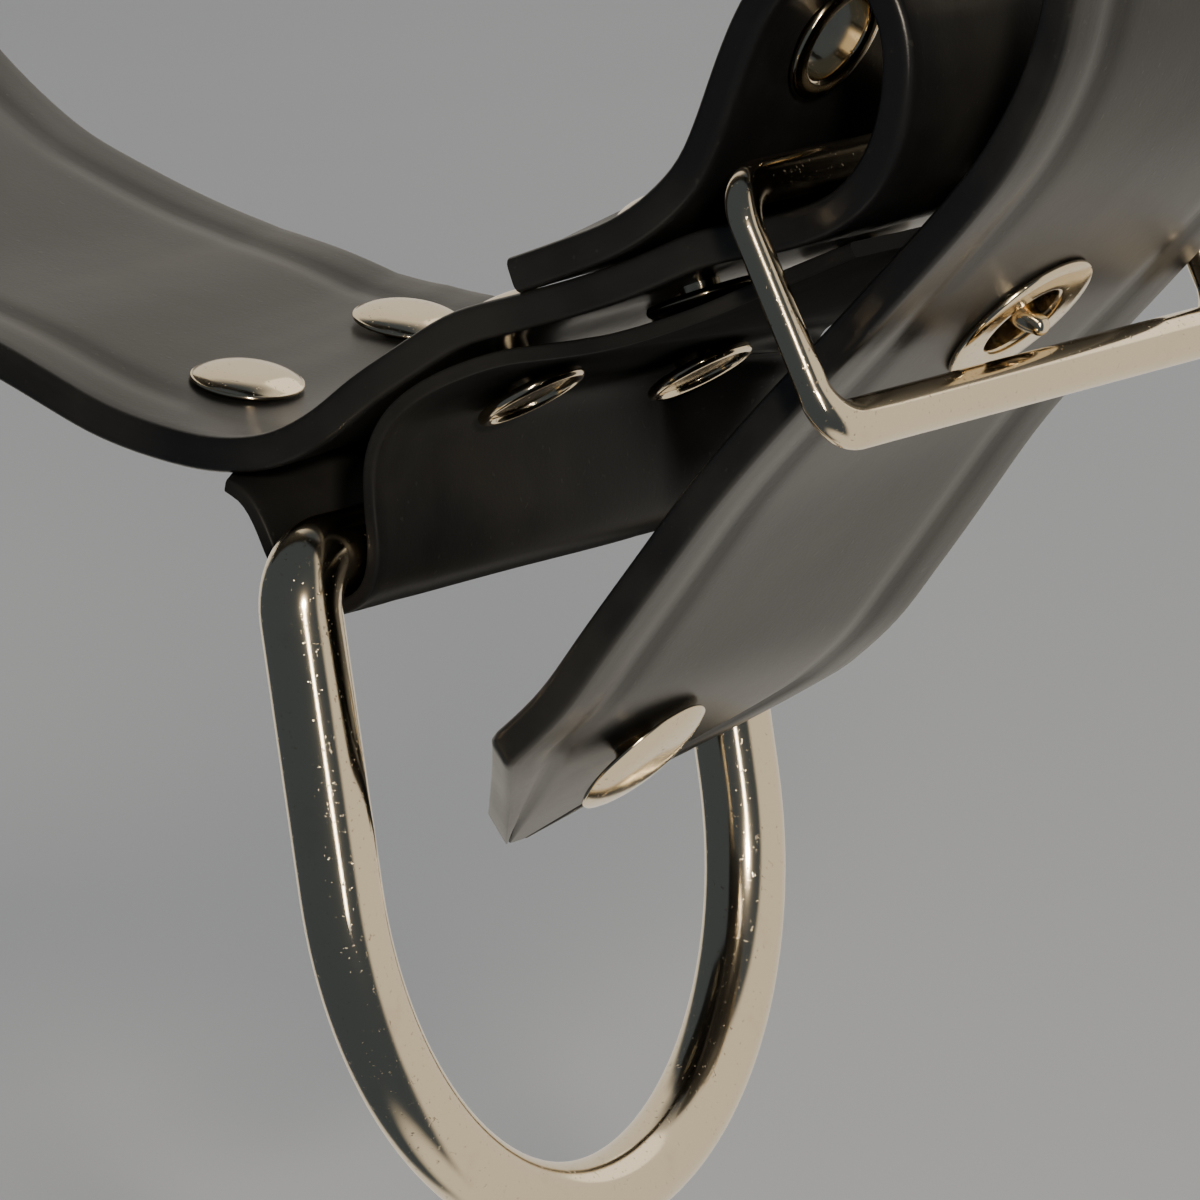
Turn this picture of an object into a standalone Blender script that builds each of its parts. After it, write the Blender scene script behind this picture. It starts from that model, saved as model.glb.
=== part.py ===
"""Latex belt: a riveted rubber strap with a prong buckle and a hanging D-ring.

The strap is one band. Its buckle end is folded over the heel bar and riveted to itself.
Its pointed end comes back through the frame, and the prong holds it at an eyelet.
The tables are in millimetres, in the plane seen from the side. Their zero is the centre
of the D-ring's bar, x runs to the right and z runs up. Y runs across the strap.
The hang point, where a peg carries the loop, is the world origin.
"""

import math

import bmesh
import bpy
import numpy as np
from mathutils import Matrix, Vector

MM = 0.001

# Main strap
STRAP_WIDTH = 48.0
STRAP_THICK = 2.8
HALF_WIDTH = STRAP_WIDTH / 2
TIP_BLUNT = 1.5
GAP = 0.3
SAMPLE_STEP = 5.0
KEEPER_STEP = 2.2

# Ring keeper, a thinner band wrapped round the bar of the ring
KEEPER_THICK = 1.2
KEEPER_NEAR = -24.0
KEEPER_FAR = 22.9
SKIVED_SHARE = 0.45

# D-ring
RING_WIRE = 6.4
RING_HALF = 27.6
RING_LEG = 25.2
RING_BOW = 28.8
RING_CORNER = 4.2
RING_SHIFT = -0.8
RING_LEAN_DEG = 3.7

# Buckle
HEEL_AT = (42.4, 27.8)
FRONT_AT = (49.2, 9.8)
HEEL_RADIUS = 1.7
RAIL_RADIUS = 1.25
FRONT_RADIUS = 1.95
FRAME_HALF = 28.4
FRAME_CORNER = 3.4
PRONG_RADIUS = 1.3
EYE_OUTER = 3.3
EYE_WIDTH = 4.4
SLOT_WIDTH = 6.0
SLOT_AT = (44.3, 24.2)
SLOT_LENGTH = 12.5
SLOT_DEPTH = 6.0
NOTCH_AT = (46.0, 21.3)
NOTCH_LENGTH = 13.0
NOTCH_DEPTH = 5.0
KEEPER_DRILL_DOWN = 3.4
KEEPER_DRILL_DEPTH = 5.6
DRILL_DEPTH = 5.4
FOLD_LAYER_STEP = 3.4

# Rivets
CAP_RADIUS = 4.5
CAP_RISE = 1.15
RIM_THICK = 0.35
SHANK_RADIUS = 1.6
BACK_RADIUS = 4.5
BACK_THICK = 0.9
BACK_DISH = 3.1
BACK_PLATE = 0.35

# Eyelets
EYELET_FLANGE = 6.7
EYELET_HOLE = 3.5
EYELET_WALL = 0.4
EYELET_FLANGE_THICK = 0.45
EYELET_SPACING = 40.0
EYELETS_SPARE = 4
USED_EYELET_AT = (47.2, 15.6)
FOLD_EYELET_FLANGE = 5.2
FOLD_EYELET_SEAT = 0.75
FOLD_EYELET_AT = (41.2, 38.2)
FOLD_EYELET_NEAR = -13.5
FOLD_EYELET_FAR = 16.0

ROUND_STEPS = 12
EYELET_STEPS = 16
BAND_COLUMNS = 2
KEEPER_COLUMNS = 6

# The waist hollow's top, where a peg goes
HANG_X = 0.0
HANG_Z = 308.6

# Centre line of the main strap: stretch, x, z
STRAP_ROWS = [
    ("flap end", 19.0, 21.1),
    ("flap", 23.6, 22.35),
    ("flap rivets", 28.1, 23.65),
    ("flap rise", 31.2, 25.1),
    ("flap rise", 33.8, 26.9),
    ("fold inner", 35.7, 28.7),
    ("fold inner", 37.5, 31.6),
    ("fold inner", 39.8, 36.0),
    ("fold inner", 42.2, 39.9),
    ("fold arch", 44.9, 42.8),
    ("fold arch", 48.6, 44.6),
    ("fold arch", 52.9, 42.7),
    ("fold outer", 54.8, 38.0),
    ("fold outer", 53.9, 32.2),
    ("fold outer", 51.7, 28.2),
    ("heel bend", 48.4, 25.5),
    ("heel bend", 43.2, 23.9),
    ("under flap", 36.0, 22.8),
    ("under flap", 29.5, 20.7),
    ("under flap", 23.7, 19.2),
    ("hump", 17.8, 17.9),
    ("hump", 13.4, 16.9),
    ("rise", 8.7, 14.7),
    ("rise", 3.9, 12.3),
    ("rise", -0.1, 9.8),
    ("trough", -4.4, 8.05),
    ("trough", -8.4, 7.6),
    ("trough", -11.4, 7.8),
    ("left band", -16.1, 8.85),
    ("left band", -20.8, 10.5),
    ("left band", -25.3, 12.8),
    ("left band", -29.6, 15.0),
    ("left band", -34.9, 17.2),
    ("left band", -42.0, 19.9),
    ("left band", -49.0, 23.3),
    ("left band", -56.1, 27.4),
    ("left turn", -66.5, 37.5),
    ("left turn", -76.5, 56.0),
    ("left turn", -82.3, 76.0),
    ("left side", -84.0, 96.0),
    ("left side", -84.0, 108.0),
    ("left side", -84.0, 126.0),
    ("left side", -84.0, 138.0),
    ("left side", -81.0, 182.0),
    ("left shoulder", -70.5, 230.0),
    ("left shoulder", -51.0, 272.0),
    ("top", -26.0, 300.5),
    ("top", 0.0, 310.0),
    ("top", 26.0, 300.5),
    ("right shoulder", 51.0, 272.0),
    ("right shoulder", 71.0, 230.0),
    ("right side", 81.5, 182.0),
    ("right side", 84.5, 138.0),
    ("right side", 82.5, 100.0),
    ("right side", 77.5, 68.0),
    ("tongue band", 73.6, 52.0),
    ("tongue band", 69.3, 41.8),
    ("tongue band", 67.0, 35.8),
    ("tongue band", 62.7, 29.2),
    ("tongue band", 58.6, 25.0),
    ("tongue band", 50.5, 18.2),
    ("tongue", 45.7, 14.2),
    ("tongue", 39.3, 8.9),
    ("tongue", 33.5, 3.8),
    ("tongue", 28.3, -1.6),
    ("tongue", 23.1, -7.2),
    ("tongue", 19.0, -11.5),
    ("point corner", 14.1, -15.0),
    ("point", 5.8, -20.0),
    ("point end", -2.3, -24.9),
]

# Centre line of the ring keeper: stretch, x, z
KEEPER_ROWS = [
    ("tab end", -21.5, 8.55),
    ("tab", -16.65, 6.9),
    ("tab", -12.3, 5.85),
    ("tab bend", -8.9, 5.35),
    ("left leg", -7.3, 4.4),
    ("left leg", -6.1, 2.3),
    ("left leg", -5.0, -0.6),
    ("round the bar", -3.3, -3.05),
    ("round the bar", 0.0, -4.2),
    ("round the bar", 3.1, -2.95),
    ("right leg", 4.25, 0.0),
    ("right leg", 4.3, 4.0),
    ("right leg", 4.7, 7.4),
    ("right leg", 6.6, 10.5),
    ("under strap", 9.9, 12.7),
    ("under strap", 14.4, 14.3),
    ("under strap", 17.9, 15.0),
    ("under strap", 22.0, 15.3),
    ("under rivets", 27.3, 15.9),
    ("under strap", 34.0, 17.5),
    ("under strap", 40.6, 19.6),
    ("keeper end", 49.6, 22.5),
]

# How far the far edge stands above the near edge: x, rise
FAR_EDGE_ROWS = [
    (-60.0, 0.0), (-36.0, 0.3), (-25.0, 1.6), (-20.0, 3.0), (-15.5, 3.6), (-8.0, 2.8), (0.0, 1.2),
    (7.0, 0.0),
]
FAR_EDGE_CLEAR = (1.0, 6.5)
FAR_EDGE_END = (60.0, 40.0)

# How far the keeper's far edge hangs below its near edge: x, drop
KEEPER_DROP_ROWS = [
    (4.5, 0.0), (7.0, 1.6), (10.0, 3.2), (18.0, 3.0), (27.0, 2.2), (40.0, 0.9), (50.0, 0.0),
]

# How far the keeper's far edge is drawn to the right, on the right of the bar: z, shift
KEEPER_DRAW_ROWS = [
    (-3.0, 0.0), (0.0, 1.5), (4.0, 4.6), (7.4, 7.3), (10.5, 7.0), (12.7, 5.0), (14.3, 1.5), (15.0, 0.0),
]
KEEPER_DRAW_FROM = 15.1
KEEPER_DRAW_RIGHT = 3.0

# The keeper's tab is narrower than its loop: inset of each side, and the x where it starts and is full
TAB_INSET = 5.5
TAB_FROM = -8.8
TAB_TO = -11.2
SKIVE_FULL = -11.0
SKIVE_END = -8.5

# The loose end of the flap curls up past its rivets
CURL_RISE = 2.4
CURL_FROM = 21.0
CURL_TO = 17.5
CURL_ABOVE_Z = 20.0

# Rivets: name, x and z on the strap's centre line, y, gap under the cap, depth below the strap
RIVET_ROWS = [
    ("rivet_left_near", -16.1, 8.85, -10.5, 0.3, 1.35),
    ("rivet_left_far", -16.1, 8.85, 11.8, 0.3, 1.35),
    ("rivet_mid_near", 8.5, 14.6, -10.5, 0.3, 3.1),
    ("rivet_mid_far", 8.5, 14.6, 11.8, 0.3, 4.5),
    ("rivet_fold_near", 25.6, 22.9, -10.5, 0.5, 3.7),
    ("rivet_fold_far", 25.6, 22.9, 11.8, 0.5, 3.7),
    ("rivet_tongue", 11.7, -16.4, -4.0, 1.3, 1.1),
]
# The tongue's rivet is wider and sits at a slant to the strap
TONGUE_CAP_RADIUS = 6.0
TONGUE_TILT_DEG = 8.0
TONGUE_LEAN = 0.08
CAP_SKIRT_CLEAR = 0.65

# Prong: x, z, radius share
PRONG_ROWS = [
    (43.9, 25.6, 1.0),
    (44.9, 22.6, 1.0),
    (46.1, 19.2, 1.0),
    (47.4, 16.4, 1.0),
    (48.7, 14.6, 0.9),
    (50.0, 13.7, 0.65),
]

# Materials: name, colour, roughness, metallic
RUBBER = ("black_latex", (0.018, 0.018, 0.019), 0.32, 0.0)
STEEL = ("nickel_plate", (0.72, 0.69, 0.64), 0.12, 1.0)


def clear_scene():
    """Removes the objects that a new file holds."""
    for item in list(bpy.data.objects):
        bpy.data.objects.remove(item, do_unlink=True)


def new_collection(name):
    """Makes a collection under the scene's own."""
    group = bpy.data.collections.new(name)
    bpy.context.scene.collection.children.link(group)
    return group


def make_material(name, colour, roughness, metallic):
    """Makes a plain Principled material."""
    material = bpy.data.materials.new(name)
    material.use_nodes = True
    shader = material.node_tree.nodes["Principled BSDF"]
    shader.inputs["Base Color"].default_value = (*colour, 1.0)
    shader.inputs["Roughness"].default_value = roughness
    shader.inputs["Metallic"].default_value = metallic
    material.diffuse_color = (*colour, 1.0)
    return material


def smoothstep(low, high, value):
    """Eases from 0 at low to 1 at high."""
    share = min(max((value - low) / (high - low), 0.0), 1.0)
    return share * share * (3.0 - 2.0 * share)


def smooth_path(rows, step):
    """Reads evenly spaced points from a centripetal curve through the rows of a table."""
    knots = [Vector((row[1], row[2])) for row in rows]
    first = knots[0] * 2 - knots[1]
    last = knots[-1] * 2 - knots[-2]
    ends = [first, *knots, last]
    points = []
    for index in range(1, len(ends) - 2):
        a, b, c, d = ends[index - 1:index + 3]
        t0 = 0.0
        t1 = t0 + math.sqrt((b - a).length)
        t2 = t1 + math.sqrt((c - b).length)
        t3 = t2 + math.sqrt((d - c).length)
        count = max(2, math.ceil((c - b).length / step))
        for part in range(count):
            t = t1 + (t2 - t1) * part / count
            ab = a.lerp(b, (t - t0) / (t1 - t0))
            bc = b.lerp(c, (t - t1) / (t2 - t1))
            cd = c.lerp(d, (t - t2) / (t3 - t2))
            abc = ab.lerp(bc, (t - t0) / (t2 - t0))
            bcd = bc.lerp(cd, (t - t1) / (t3 - t1))
            points.append(abc.lerp(bcd, (t - t1) / (t2 - t1)))
    points.append(knots[-1])
    return points


def far_edge_rise(x, y, z):
    """Gives the height that the strap's slight twist adds at a place near the ring."""
    xs = [row[0] for row in FAR_EDGE_ROWS]
    rises = [row[1] for row in FAR_EDGE_ROWS]
    across = (y + HALF_WIDTH) / STRAP_WIDTH
    fade = smoothstep(*FAR_EDGE_CLEAR, z) * smoothstep(*FAR_EDGE_END, z)
    return float(np.interp(x, xs, rises)) * across * fade


def flap_curl(x, y, z):
    """Gives the height that the curled end of the flap adds."""
    if x > CURL_FROM or x < CURL_TO - 1.0 or z < CURL_ABOVE_Z:
        return 0.0
    return CURL_RISE * smoothstep(CURL_FROM, CURL_TO, x) * smoothstep(-HALF_WIDTH, 2.0, y)


def strap_shape(x, y, z):
    """Gives the place of a point of the main strap."""
    return Vector((x, y, z + far_edge_rise(x, y, z) + flap_curl(x, y, z)))


def from_rows(rows, place):
    """Reads a value between the rows of a table of two columns."""
    return float(np.interp(place, [row[0] for row in rows], [row[1] for row in rows]))


def keeper_shape(x, y, z):
    """Gives the place of a point of the keeper, with its narrow tab and its low, drawn far edge."""
    drop = from_rows(KEEPER_DROP_ROWS, x) * (y + HALF_WIDTH) / STRAP_WIDTH
    across = y * (1.0 - TAB_INSET * smoothstep(TAB_FROM, TAB_TO, x) / HALF_WIDTH)
    drawn = from_rows(KEEPER_DRAW_ROWS, z) * smoothstep(0.0, KEEPER_DRAW_RIGHT, x)
    edge = smoothstep(KEEPER_DRAW_FROM, KEEPER_FAR, y)
    return Vector((x + drawn * edge, across, z + far_edge_rise(x, across, z) - drop))


def nearest_frame(path, x, z):
    """Finds the place on a path nearest to a point, with the direction along it."""
    target = Vector((x, z))
    index = min(range(1, len(path) - 1), key=lambda i: (path[i] - target).length)
    along = (path[index + 1] - path[index - 1]).normalized()
    offset = (target - path[index]).dot(along)
    return path[index] + along * offset, along


def link(item, group, parent, material=None):
    """Puts an object in a collection under the hang point, with its material."""
    group.objects.link(item)
    item.parent = parent
    if material is not None:
        item.data.materials.clear()
        item.data.materials.append(material)
    return item


def baked(item, name):
    """Turns an object into a plain mesh of what its modifiers make."""
    bpy.context.view_layer.update()
    graph = bpy.context.evaluated_depsgraph_get()
    mesh = bpy.data.meshes.new_from_object(item.evaluated_get(graph))
    work = bmesh.new()
    work.from_mesh(mesh)
    bmesh.ops.remove_doubles(work, verts=work.verts, dist=0.00001)
    bmesh.ops.recalc_face_normals(work, faces=work.faces)
    work.to_mesh(mesh)
    work.free()
    matrix = item.matrix_world.copy()
    bpy.data.objects.remove(item, do_unlink=True)
    result = bpy.data.objects.new(name, mesh)
    result.matrix_world = matrix
    return result


def ribbon(name, path, near, far, thick, shape, columns, share=None):
    """Bends a grid along a path, and thickens it into a band."""
    work = bmesh.new()
    bmesh.ops.create_grid(work, x_segments=len(path) - 1, y_segments=columns, size=1.0)
    count = len(path) - 1
    for vert in work.verts:
        station = path[round((vert.co.x + 1) / 2 * count)]
        y = near + (far - near) * (vert.co.y + 1) / 2
        vert.co = shape(station.x, y, station.y) * MM
    mesh = bpy.data.meshes.new(name)
    work.to_mesh(mesh)
    work.free()
    item = bpy.data.objects.new(name, mesh)
    bpy.context.scene.collection.objects.link(item)
    solid = item.modifiers.new("thickness", "SOLIDIFY")
    solid.thickness = thick * MM
    solid.offset = 0.0
    solid.use_even_offset = True
    if share is not None:
        group = item.vertex_groups.new(name="skived")
        for vert in mesh.vertices:
            group.add([vert.index], share(vert.co.x / MM), "REPLACE")
        solid.vertex_group = group.name
    return baked(item, name)


def turned(name, profile, steps):
    """Turns a profile, given top to bottom down its outer side, round Z."""
    mesh = bpy.data.meshes.new(name)
    work = bmesh.new()
    verts = [work.verts.new((radius * MM, 0.0, height * MM)) for radius, height in profile]
    closed = profile[0] == profile[-1]
    if closed:
        work.verts.remove(verts.pop())
    for first, second in zip(verts, verts[1:]):
        work.edges.new((first, second))
    if closed:
        work.edges.new((verts[-1], verts[0]))
    work.to_mesh(mesh)
    work.free()
    item = bpy.data.objects.new(name, mesh)
    bpy.context.scene.collection.objects.link(item)
    screw = item.modifiers.new("turn", "SCREW")
    screw.axis = "Z"
    screw.steps = steps
    screw.render_steps = steps
    screw.use_merge_vertices = True
    screw.merge_threshold = 0.00001
    return baked(item, name)


def tube(name, points, radii, cyclic, sides):
    """Sweeps a round wire along points."""
    curve = bpy.data.curves.new(name, "CURVE")
    curve.dimensions = "3D"
    curve.bevel_depth = MM
    curve.bevel_resolution = sides
    curve.use_fill_caps = True
    spline = curve.splines.new("POLY")
    spline.points.add(len(points) - 1)
    for place, point, radius in zip(spline.points, points, radii):
        place.co = (*(point * MM), 1.0)
        place.radius = radius
    spline.use_cyclic_u = cyclic
    item = bpy.data.objects.new(name, curve)
    bpy.context.scene.collection.objects.link(item)
    return baked(item, name)


def place(item, at, along, side, lean=None):
    """Stands a turned piece on the strap: its Z leaves the strap on the named side."""
    axis_x = Vector((along.x, 0.0, along.y))
    if lean is None:
        lean = far_edge_rise(at.x, HALF_WIDTH, at.z) / STRAP_WIDTH
    across = Vector((0.0, 1.0, lean))
    axis_z = axis_x.cross(across).normalized() * side
    axis_x = (axis_x - axis_z * axis_x.dot(axis_z)).normalized()
    axis_y = axis_z.cross(axis_x)
    turn = Matrix((axis_x, axis_y, axis_z)).transposed().to_4x4()
    item.matrix_world = Matrix.Translation(at * MM) @ turn
    return item


def cut(item, cutters, group, parent):
    """Cuts closed shapes out of a band, and keeps them as hidden cutters."""
    bpy.context.scene.collection.objects.link(item)
    for cutter in cutters:
        bpy.context.scene.collection.objects.link(cutter)
        boolean = item.modifiers.new(cutter.name, "BOOLEAN")
        boolean.operation = "DIFFERENCE"
        boolean.solver = "EXACT"
        boolean.object = cutter
    name = item.name
    result = baked(item, name)
    for cutter in cutters:
        bpy.context.scene.collection.objects.unlink(cutter)
        link(cutter, group, parent)
        cutter.hide_render = True
        cutter.display_type = "WIRE"
    return result


def hole_cutter(name, at, along, radius, depth, lean=None):
    """Makes a round drill across the strap."""
    work = bmesh.new()
    bmesh.ops.create_cone(
        work, cap_ends=True, segments=EYELET_STEPS,
        radius1=radius * MM, radius2=radius * MM, depth=depth * MM)
    mesh = bpy.data.meshes.new(name)
    work.to_mesh(mesh)
    work.free()
    return place(bpy.data.objects.new(name, mesh), at, along, 1, lean)


def slot_cutter(name, at, along, length, depth):
    """Makes a box-shaped punch for the prong's slot."""
    work = bmesh.new()
    bmesh.ops.create_cube(work, size=1.0)
    bmesh.ops.scale(work, verts=work.verts, vec=Vector((length, SLOT_WIDTH, depth)) * MM)
    mesh = bpy.data.meshes.new(name)
    work.to_mesh(mesh)
    work.free()
    return place(bpy.data.objects.new(name, mesh), at, along, 1)


def point_cutters(path):
    """Makes the two wedges that leave the tongue's end pointed."""
    corner = Vector((STRAP_ROWS[-3][1], 0.0, STRAP_ROWS[-3][2]))
    tip = Vector((path[-1].x, 0.0, path[-1].y))
    along = (tip - corner).normalized()
    up = Vector((along.z, 0.0, -along.x)) * 8.0
    over = along * 6.0
    found = []
    for side in (-1, 1):
        outline = [
            corner + Vector((0.0, side * HALF_WIDTH, 0.0)),
            tip + Vector((0.0, side * TIP_BLUNT, 0.0)),
            tip + over + Vector((0.0, side * TIP_BLUNT, 0.0)),
            tip + over + Vector((0.0, side * (HALF_WIDTH + 9.0), 0.0)),
            corner + Vector((0.0, side * (HALF_WIDTH + 9.0), 0.0)),
        ]
        work = bmesh.new()
        verts = [work.verts.new((spot - up) * MM) for spot in outline]
        face = work.faces.new(verts)
        lifted = bmesh.ops.extrude_face_region(work, geom=[face])
        moved = [part for part in lifted["geom"] if isinstance(part, bmesh.types.BMVert)]
        bmesh.ops.translate(work, verts=moved, vec=up * 2 * MM)
        bmesh.ops.recalc_face_normals(work, faces=work.faces)
        mesh = bpy.data.meshes.new(f"point_cut_{side}")
        work.to_mesh(mesh)
        work.free()
        found.append(bpy.data.objects.new(mesh.name, mesh))
    return found


def on_strap(path, x, z, y):
    """Gives the place and direction of a fitting on a band."""
    spot, along = nearest_frame(path, x, z)
    if along.x < 0:
        along = -along
    height = spot.y + far_edge_rise(spot.x, y, spot.y)
    return Vector((spot.x, y, height)), along


def rivet_profile(cap_radius, cap_gap, stack_below):
    """Lists the turned outline of a capped rivet with a rolled back."""
    seat = STRAP_THICK / 2 + cap_gap
    back = -(STRAP_THICK / 2 + stack_below)
    return [
        (0.0, seat + CAP_RISE),
        (cap_radius * 0.55, seat + CAP_RISE * 0.86),
        (cap_radius * 0.88, seat + CAP_RISE * 0.58),
        (cap_radius, seat + RIM_THICK * 0.6),
        (cap_radius * 0.97, seat),
        (SHANK_RADIUS + 0.5, seat - max(cap_gap - CAP_SKIRT_CLEAR, 0.0)),
        (SHANK_RADIUS, seat),
        (SHANK_RADIUS, back),
        (BACK_RADIUS * 0.94, back),
        (BACK_RADIUS, back - BACK_THICK * 0.4),
        (BACK_RADIUS * 0.88, back - BACK_THICK),
        (BACK_RADIUS * 0.76, back - BACK_THICK * 0.9),
        (BACK_DISH, back - BACK_PLATE * 1.3),
        (0.0, back - BACK_PLATE),
    ]


def eyelet_profile(flange, seat):
    """Lists the closed outline of an eyelet: flange, barrel and rolled washer."""
    top = STRAP_THICK / 2 + seat
    low = -STRAP_THICK / 2 - GAP
    barrel = EYELET_HOLE + EYELET_WALL
    washer = max(flange - 1.6, barrel + 0.7)
    thick = EYELET_FLANGE_THICK
    return [
        (EYELET_HOLE, top + thick * 0.4),
        (EYELET_HOLE + 0.7, top + thick),
        (flange - 0.6, top + thick * 0.8),
        (flange, top + thick * 0.3),
        (flange - 0.1, top),
        (barrel, top),
        (barrel, low),
        (washer, low),
        (washer - 0.1, low - thick),
        (EYELET_HOLE + 0.5, low - thick),
        (EYELET_HOLE, low - thick * 0.3),
        (EYELET_HOLE, top + thick * 0.4),
    ]


def build_rivets(path, group, parent, steel):
    """Makes the rivets, and returns the drills for their holes."""
    drills = []
    for name, x, z, y, cap_gap, below in RIVET_ROWS:
        at, along = on_strap(path, x, z, y)
        side, cap_radius, lean = 1, CAP_RADIUS, None
        if name == "rivet_tongue":
            side, cap_radius, lean = -1, TONGUE_CAP_RADIUS, TONGUE_LEAN
            along = along.copy()
            along.rotate(Matrix.Rotation(math.radians(TONGUE_TILT_DEG), 2))
        rivet = turned(name, rivet_profile(cap_radius, cap_gap, below), ROUND_STEPS)
        link(place(rivet, at, along, side, lean), group, parent, steel)
        drills.append((name, at, along, SHANK_RADIUS + GAP, lean))
    return drills


def distance_along(path, start, distance):
    """Walks back along a path from a place, against its direction."""
    target = Vector(start)
    index = min(range(len(path)), key=lambda i: (path[i] - target).length)
    walked = 0.0
    while walked < distance:
        walked += (path[index] - path[index - 1]).length
        index -= 1
    return path[index]


def build_eyelets(path, group, parent, steel):
    """Makes the row of eyelets in the tongue and the pair in the fold."""
    drills = []
    used = Vector(USED_EYELET_AT)
    for index in range(EYELETS_SPARE + 1):
        spot = distance_along(path, used, EYELET_SPACING * index) if index else used
        at, along = on_strap(path, spot.x, spot.y, 0.0)
        facing = -1 if spot.x > 0 and along.x > -along.y else 1
        name = f"tongue_eyelet_{index + 1}"
        eyelet = turned(name, eyelet_profile(EYELET_FLANGE, GAP), EYELET_STEPS)
        link(place(eyelet, at, along, facing), group, parent, steel)
        drills.append((name, at, along, EYELET_HOLE + EYELET_WALL + GAP, None))
    for label, y in (("near", FOLD_EYELET_NEAR), ("far", FOLD_EYELET_FAR)):
        name = f"fold_eyelet_{label}"
        at, along = on_strap(path, *FOLD_EYELET_AT, y)
        eyelet = turned(name, eyelet_profile(FOLD_EYELET_FLANGE, FOLD_EYELET_SEAT), EYELET_STEPS)
        link(place(eyelet, at, along, -1), group, parent, steel)
        drills.append((name, at, along, EYELET_HOLE + EYELET_WALL + GAP, None))
    return drills


def build_strap(path, drills, group, cutters, parent, rubber):
    """Makes the main strap with its holes, slot and point."""
    band = ribbon("strap", path, -HALF_WIDTH, HALF_WIDTH, STRAP_THICK, strap_shape, BAND_COLUMNS)
    tools = []
    for name, at, along, radius, lean in drills:
        both_layers = name.startswith("rivet_fold")
        down = Vector((along.y, 0.0, -along.x)) * (FOLD_LAYER_STEP / 2 if both_layers else 0.0)
        depth = DRILL_DEPTH + (FOLD_LAYER_STEP if both_layers else 0.0)
        tools.append(hole_cutter(f"hole_{name}", at + down, along, radius, depth, lean))
    slot, slot_along = on_strap(path, *SLOT_AT, 0.0)
    tools.append(slot_cutter("prong_slot", slot, slot_along, SLOT_LENGTH, SLOT_DEPTH))
    tools.extend(point_cutters(path))
    link(cut(band, tools, cutters, parent), group, parent, rubber)


def build_keeper(path, drills, group, cutters, parent, rubber):
    """Makes the band that carries the ring, with its rivet holes and end notch."""
    band = ribbon(
        "ring_keeper", path, KEEPER_NEAR, KEEPER_FAR, KEEPER_THICK, keeper_shape, KEEPER_COLUMNS,
        lambda x: SKIVED_SHARE + (1.0 - SKIVED_SHARE) * smoothstep(SKIVE_FULL, SKIVE_END, x))
    tools = []
    for name, at, along, radius, lean in drills:
        if name.startswith(("rivet_left", "rivet_mid")):
            down = Vector((along.y, 0.0, -along.x)) * KEEPER_DRILL_DOWN
            tools.append(hole_cutter(f"keeper_{name}", at + down, along, radius, KEEPER_DRILL_DEPTH))
    end, end_along = on_strap(path, *NOTCH_AT, 0.0)
    tools.append(slot_cutter("keeper_notch", end, end_along, NOTCH_LENGTH, NOTCH_DEPTH))
    link(cut(band, tools, cutters, parent), group, parent, rubber)


def ring_points():
    """Lists the D-ring's wire: bar, corners, legs and bow, in the plane of Y and Z."""
    points = []
    for side in (-1, 1):
        turn = []
        for step in range(5):
            angle = math.pi / 2 * step / 4
            turn.append(Vector((
                0.0,
                side * (RING_HALF - RING_CORNER + RING_CORNER * math.sin(angle)),
                -RING_CORNER + RING_CORNER * math.cos(angle))))
        points.extend(turn if side == 1 else [])
        if side == -1:
            first_turn = turn
    for step in range(21):
        angle = math.pi * step / 20
        points.append(Vector((0.0, RING_HALF * math.cos(angle), -RING_LEG - RING_BOW * math.sin(angle))))
    points.extend(reversed(first_turn))
    return points


def build_ring(group, parent, steel):
    """Makes the D-ring on its own pivot, so that it hangs from the keeper."""
    points = ring_points()
    ring = tube("d_ring", points, [RING_WIRE / 2] * len(points), True, 4)
    pivot = bpy.data.objects.new("ring_pivot", None)
    link(pivot, group, parent)
    pivot.location = (0.0, RING_SHIFT * MM, 0.0)
    pivot.rotation_euler = (0.0, -math.radians(RING_LEAN_DEG), 0.0)
    link(ring, group, pivot, steel)


def frame_points():
    """Lists the buckle frame's wire as places and radii."""
    heel = Vector((HEEL_AT[0], 0.0, HEEL_AT[1]))
    front = Vector((FRONT_AT[0], 0.0, FRONT_AT[1]))
    down = (front - heel).normalized()
    points = []
    radii = []
    corners = [
        (heel, -1, down, 0, HEEL_RADIUS), (heel, 1, down, 1, HEEL_RADIUS),
        (front, 1, -down, 0, FRONT_RADIUS), (front, -1, -down, 1, FRONT_RADIUS),
    ]
    for centre, side, inward, order, bar in corners:
        turn = []
        for step in range(5):
            angle = math.pi / 2 * step / 4
            outward = FRAME_HALF - FRAME_CORNER + FRAME_CORNER * math.sin(angle)
            inset = FRAME_CORNER * (1.0 - math.cos(angle))
            turn.append((
                centre + inward * inset + Vector((0.0, side * outward, 0.0)),
                bar + (RAIL_RADIUS - bar) * step / 4))
        if not order:
            turn.reverse()
        points.extend(spot for spot, radius in turn)
        radii.extend(radius for spot, radius in turn)
    return points, radii


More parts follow.
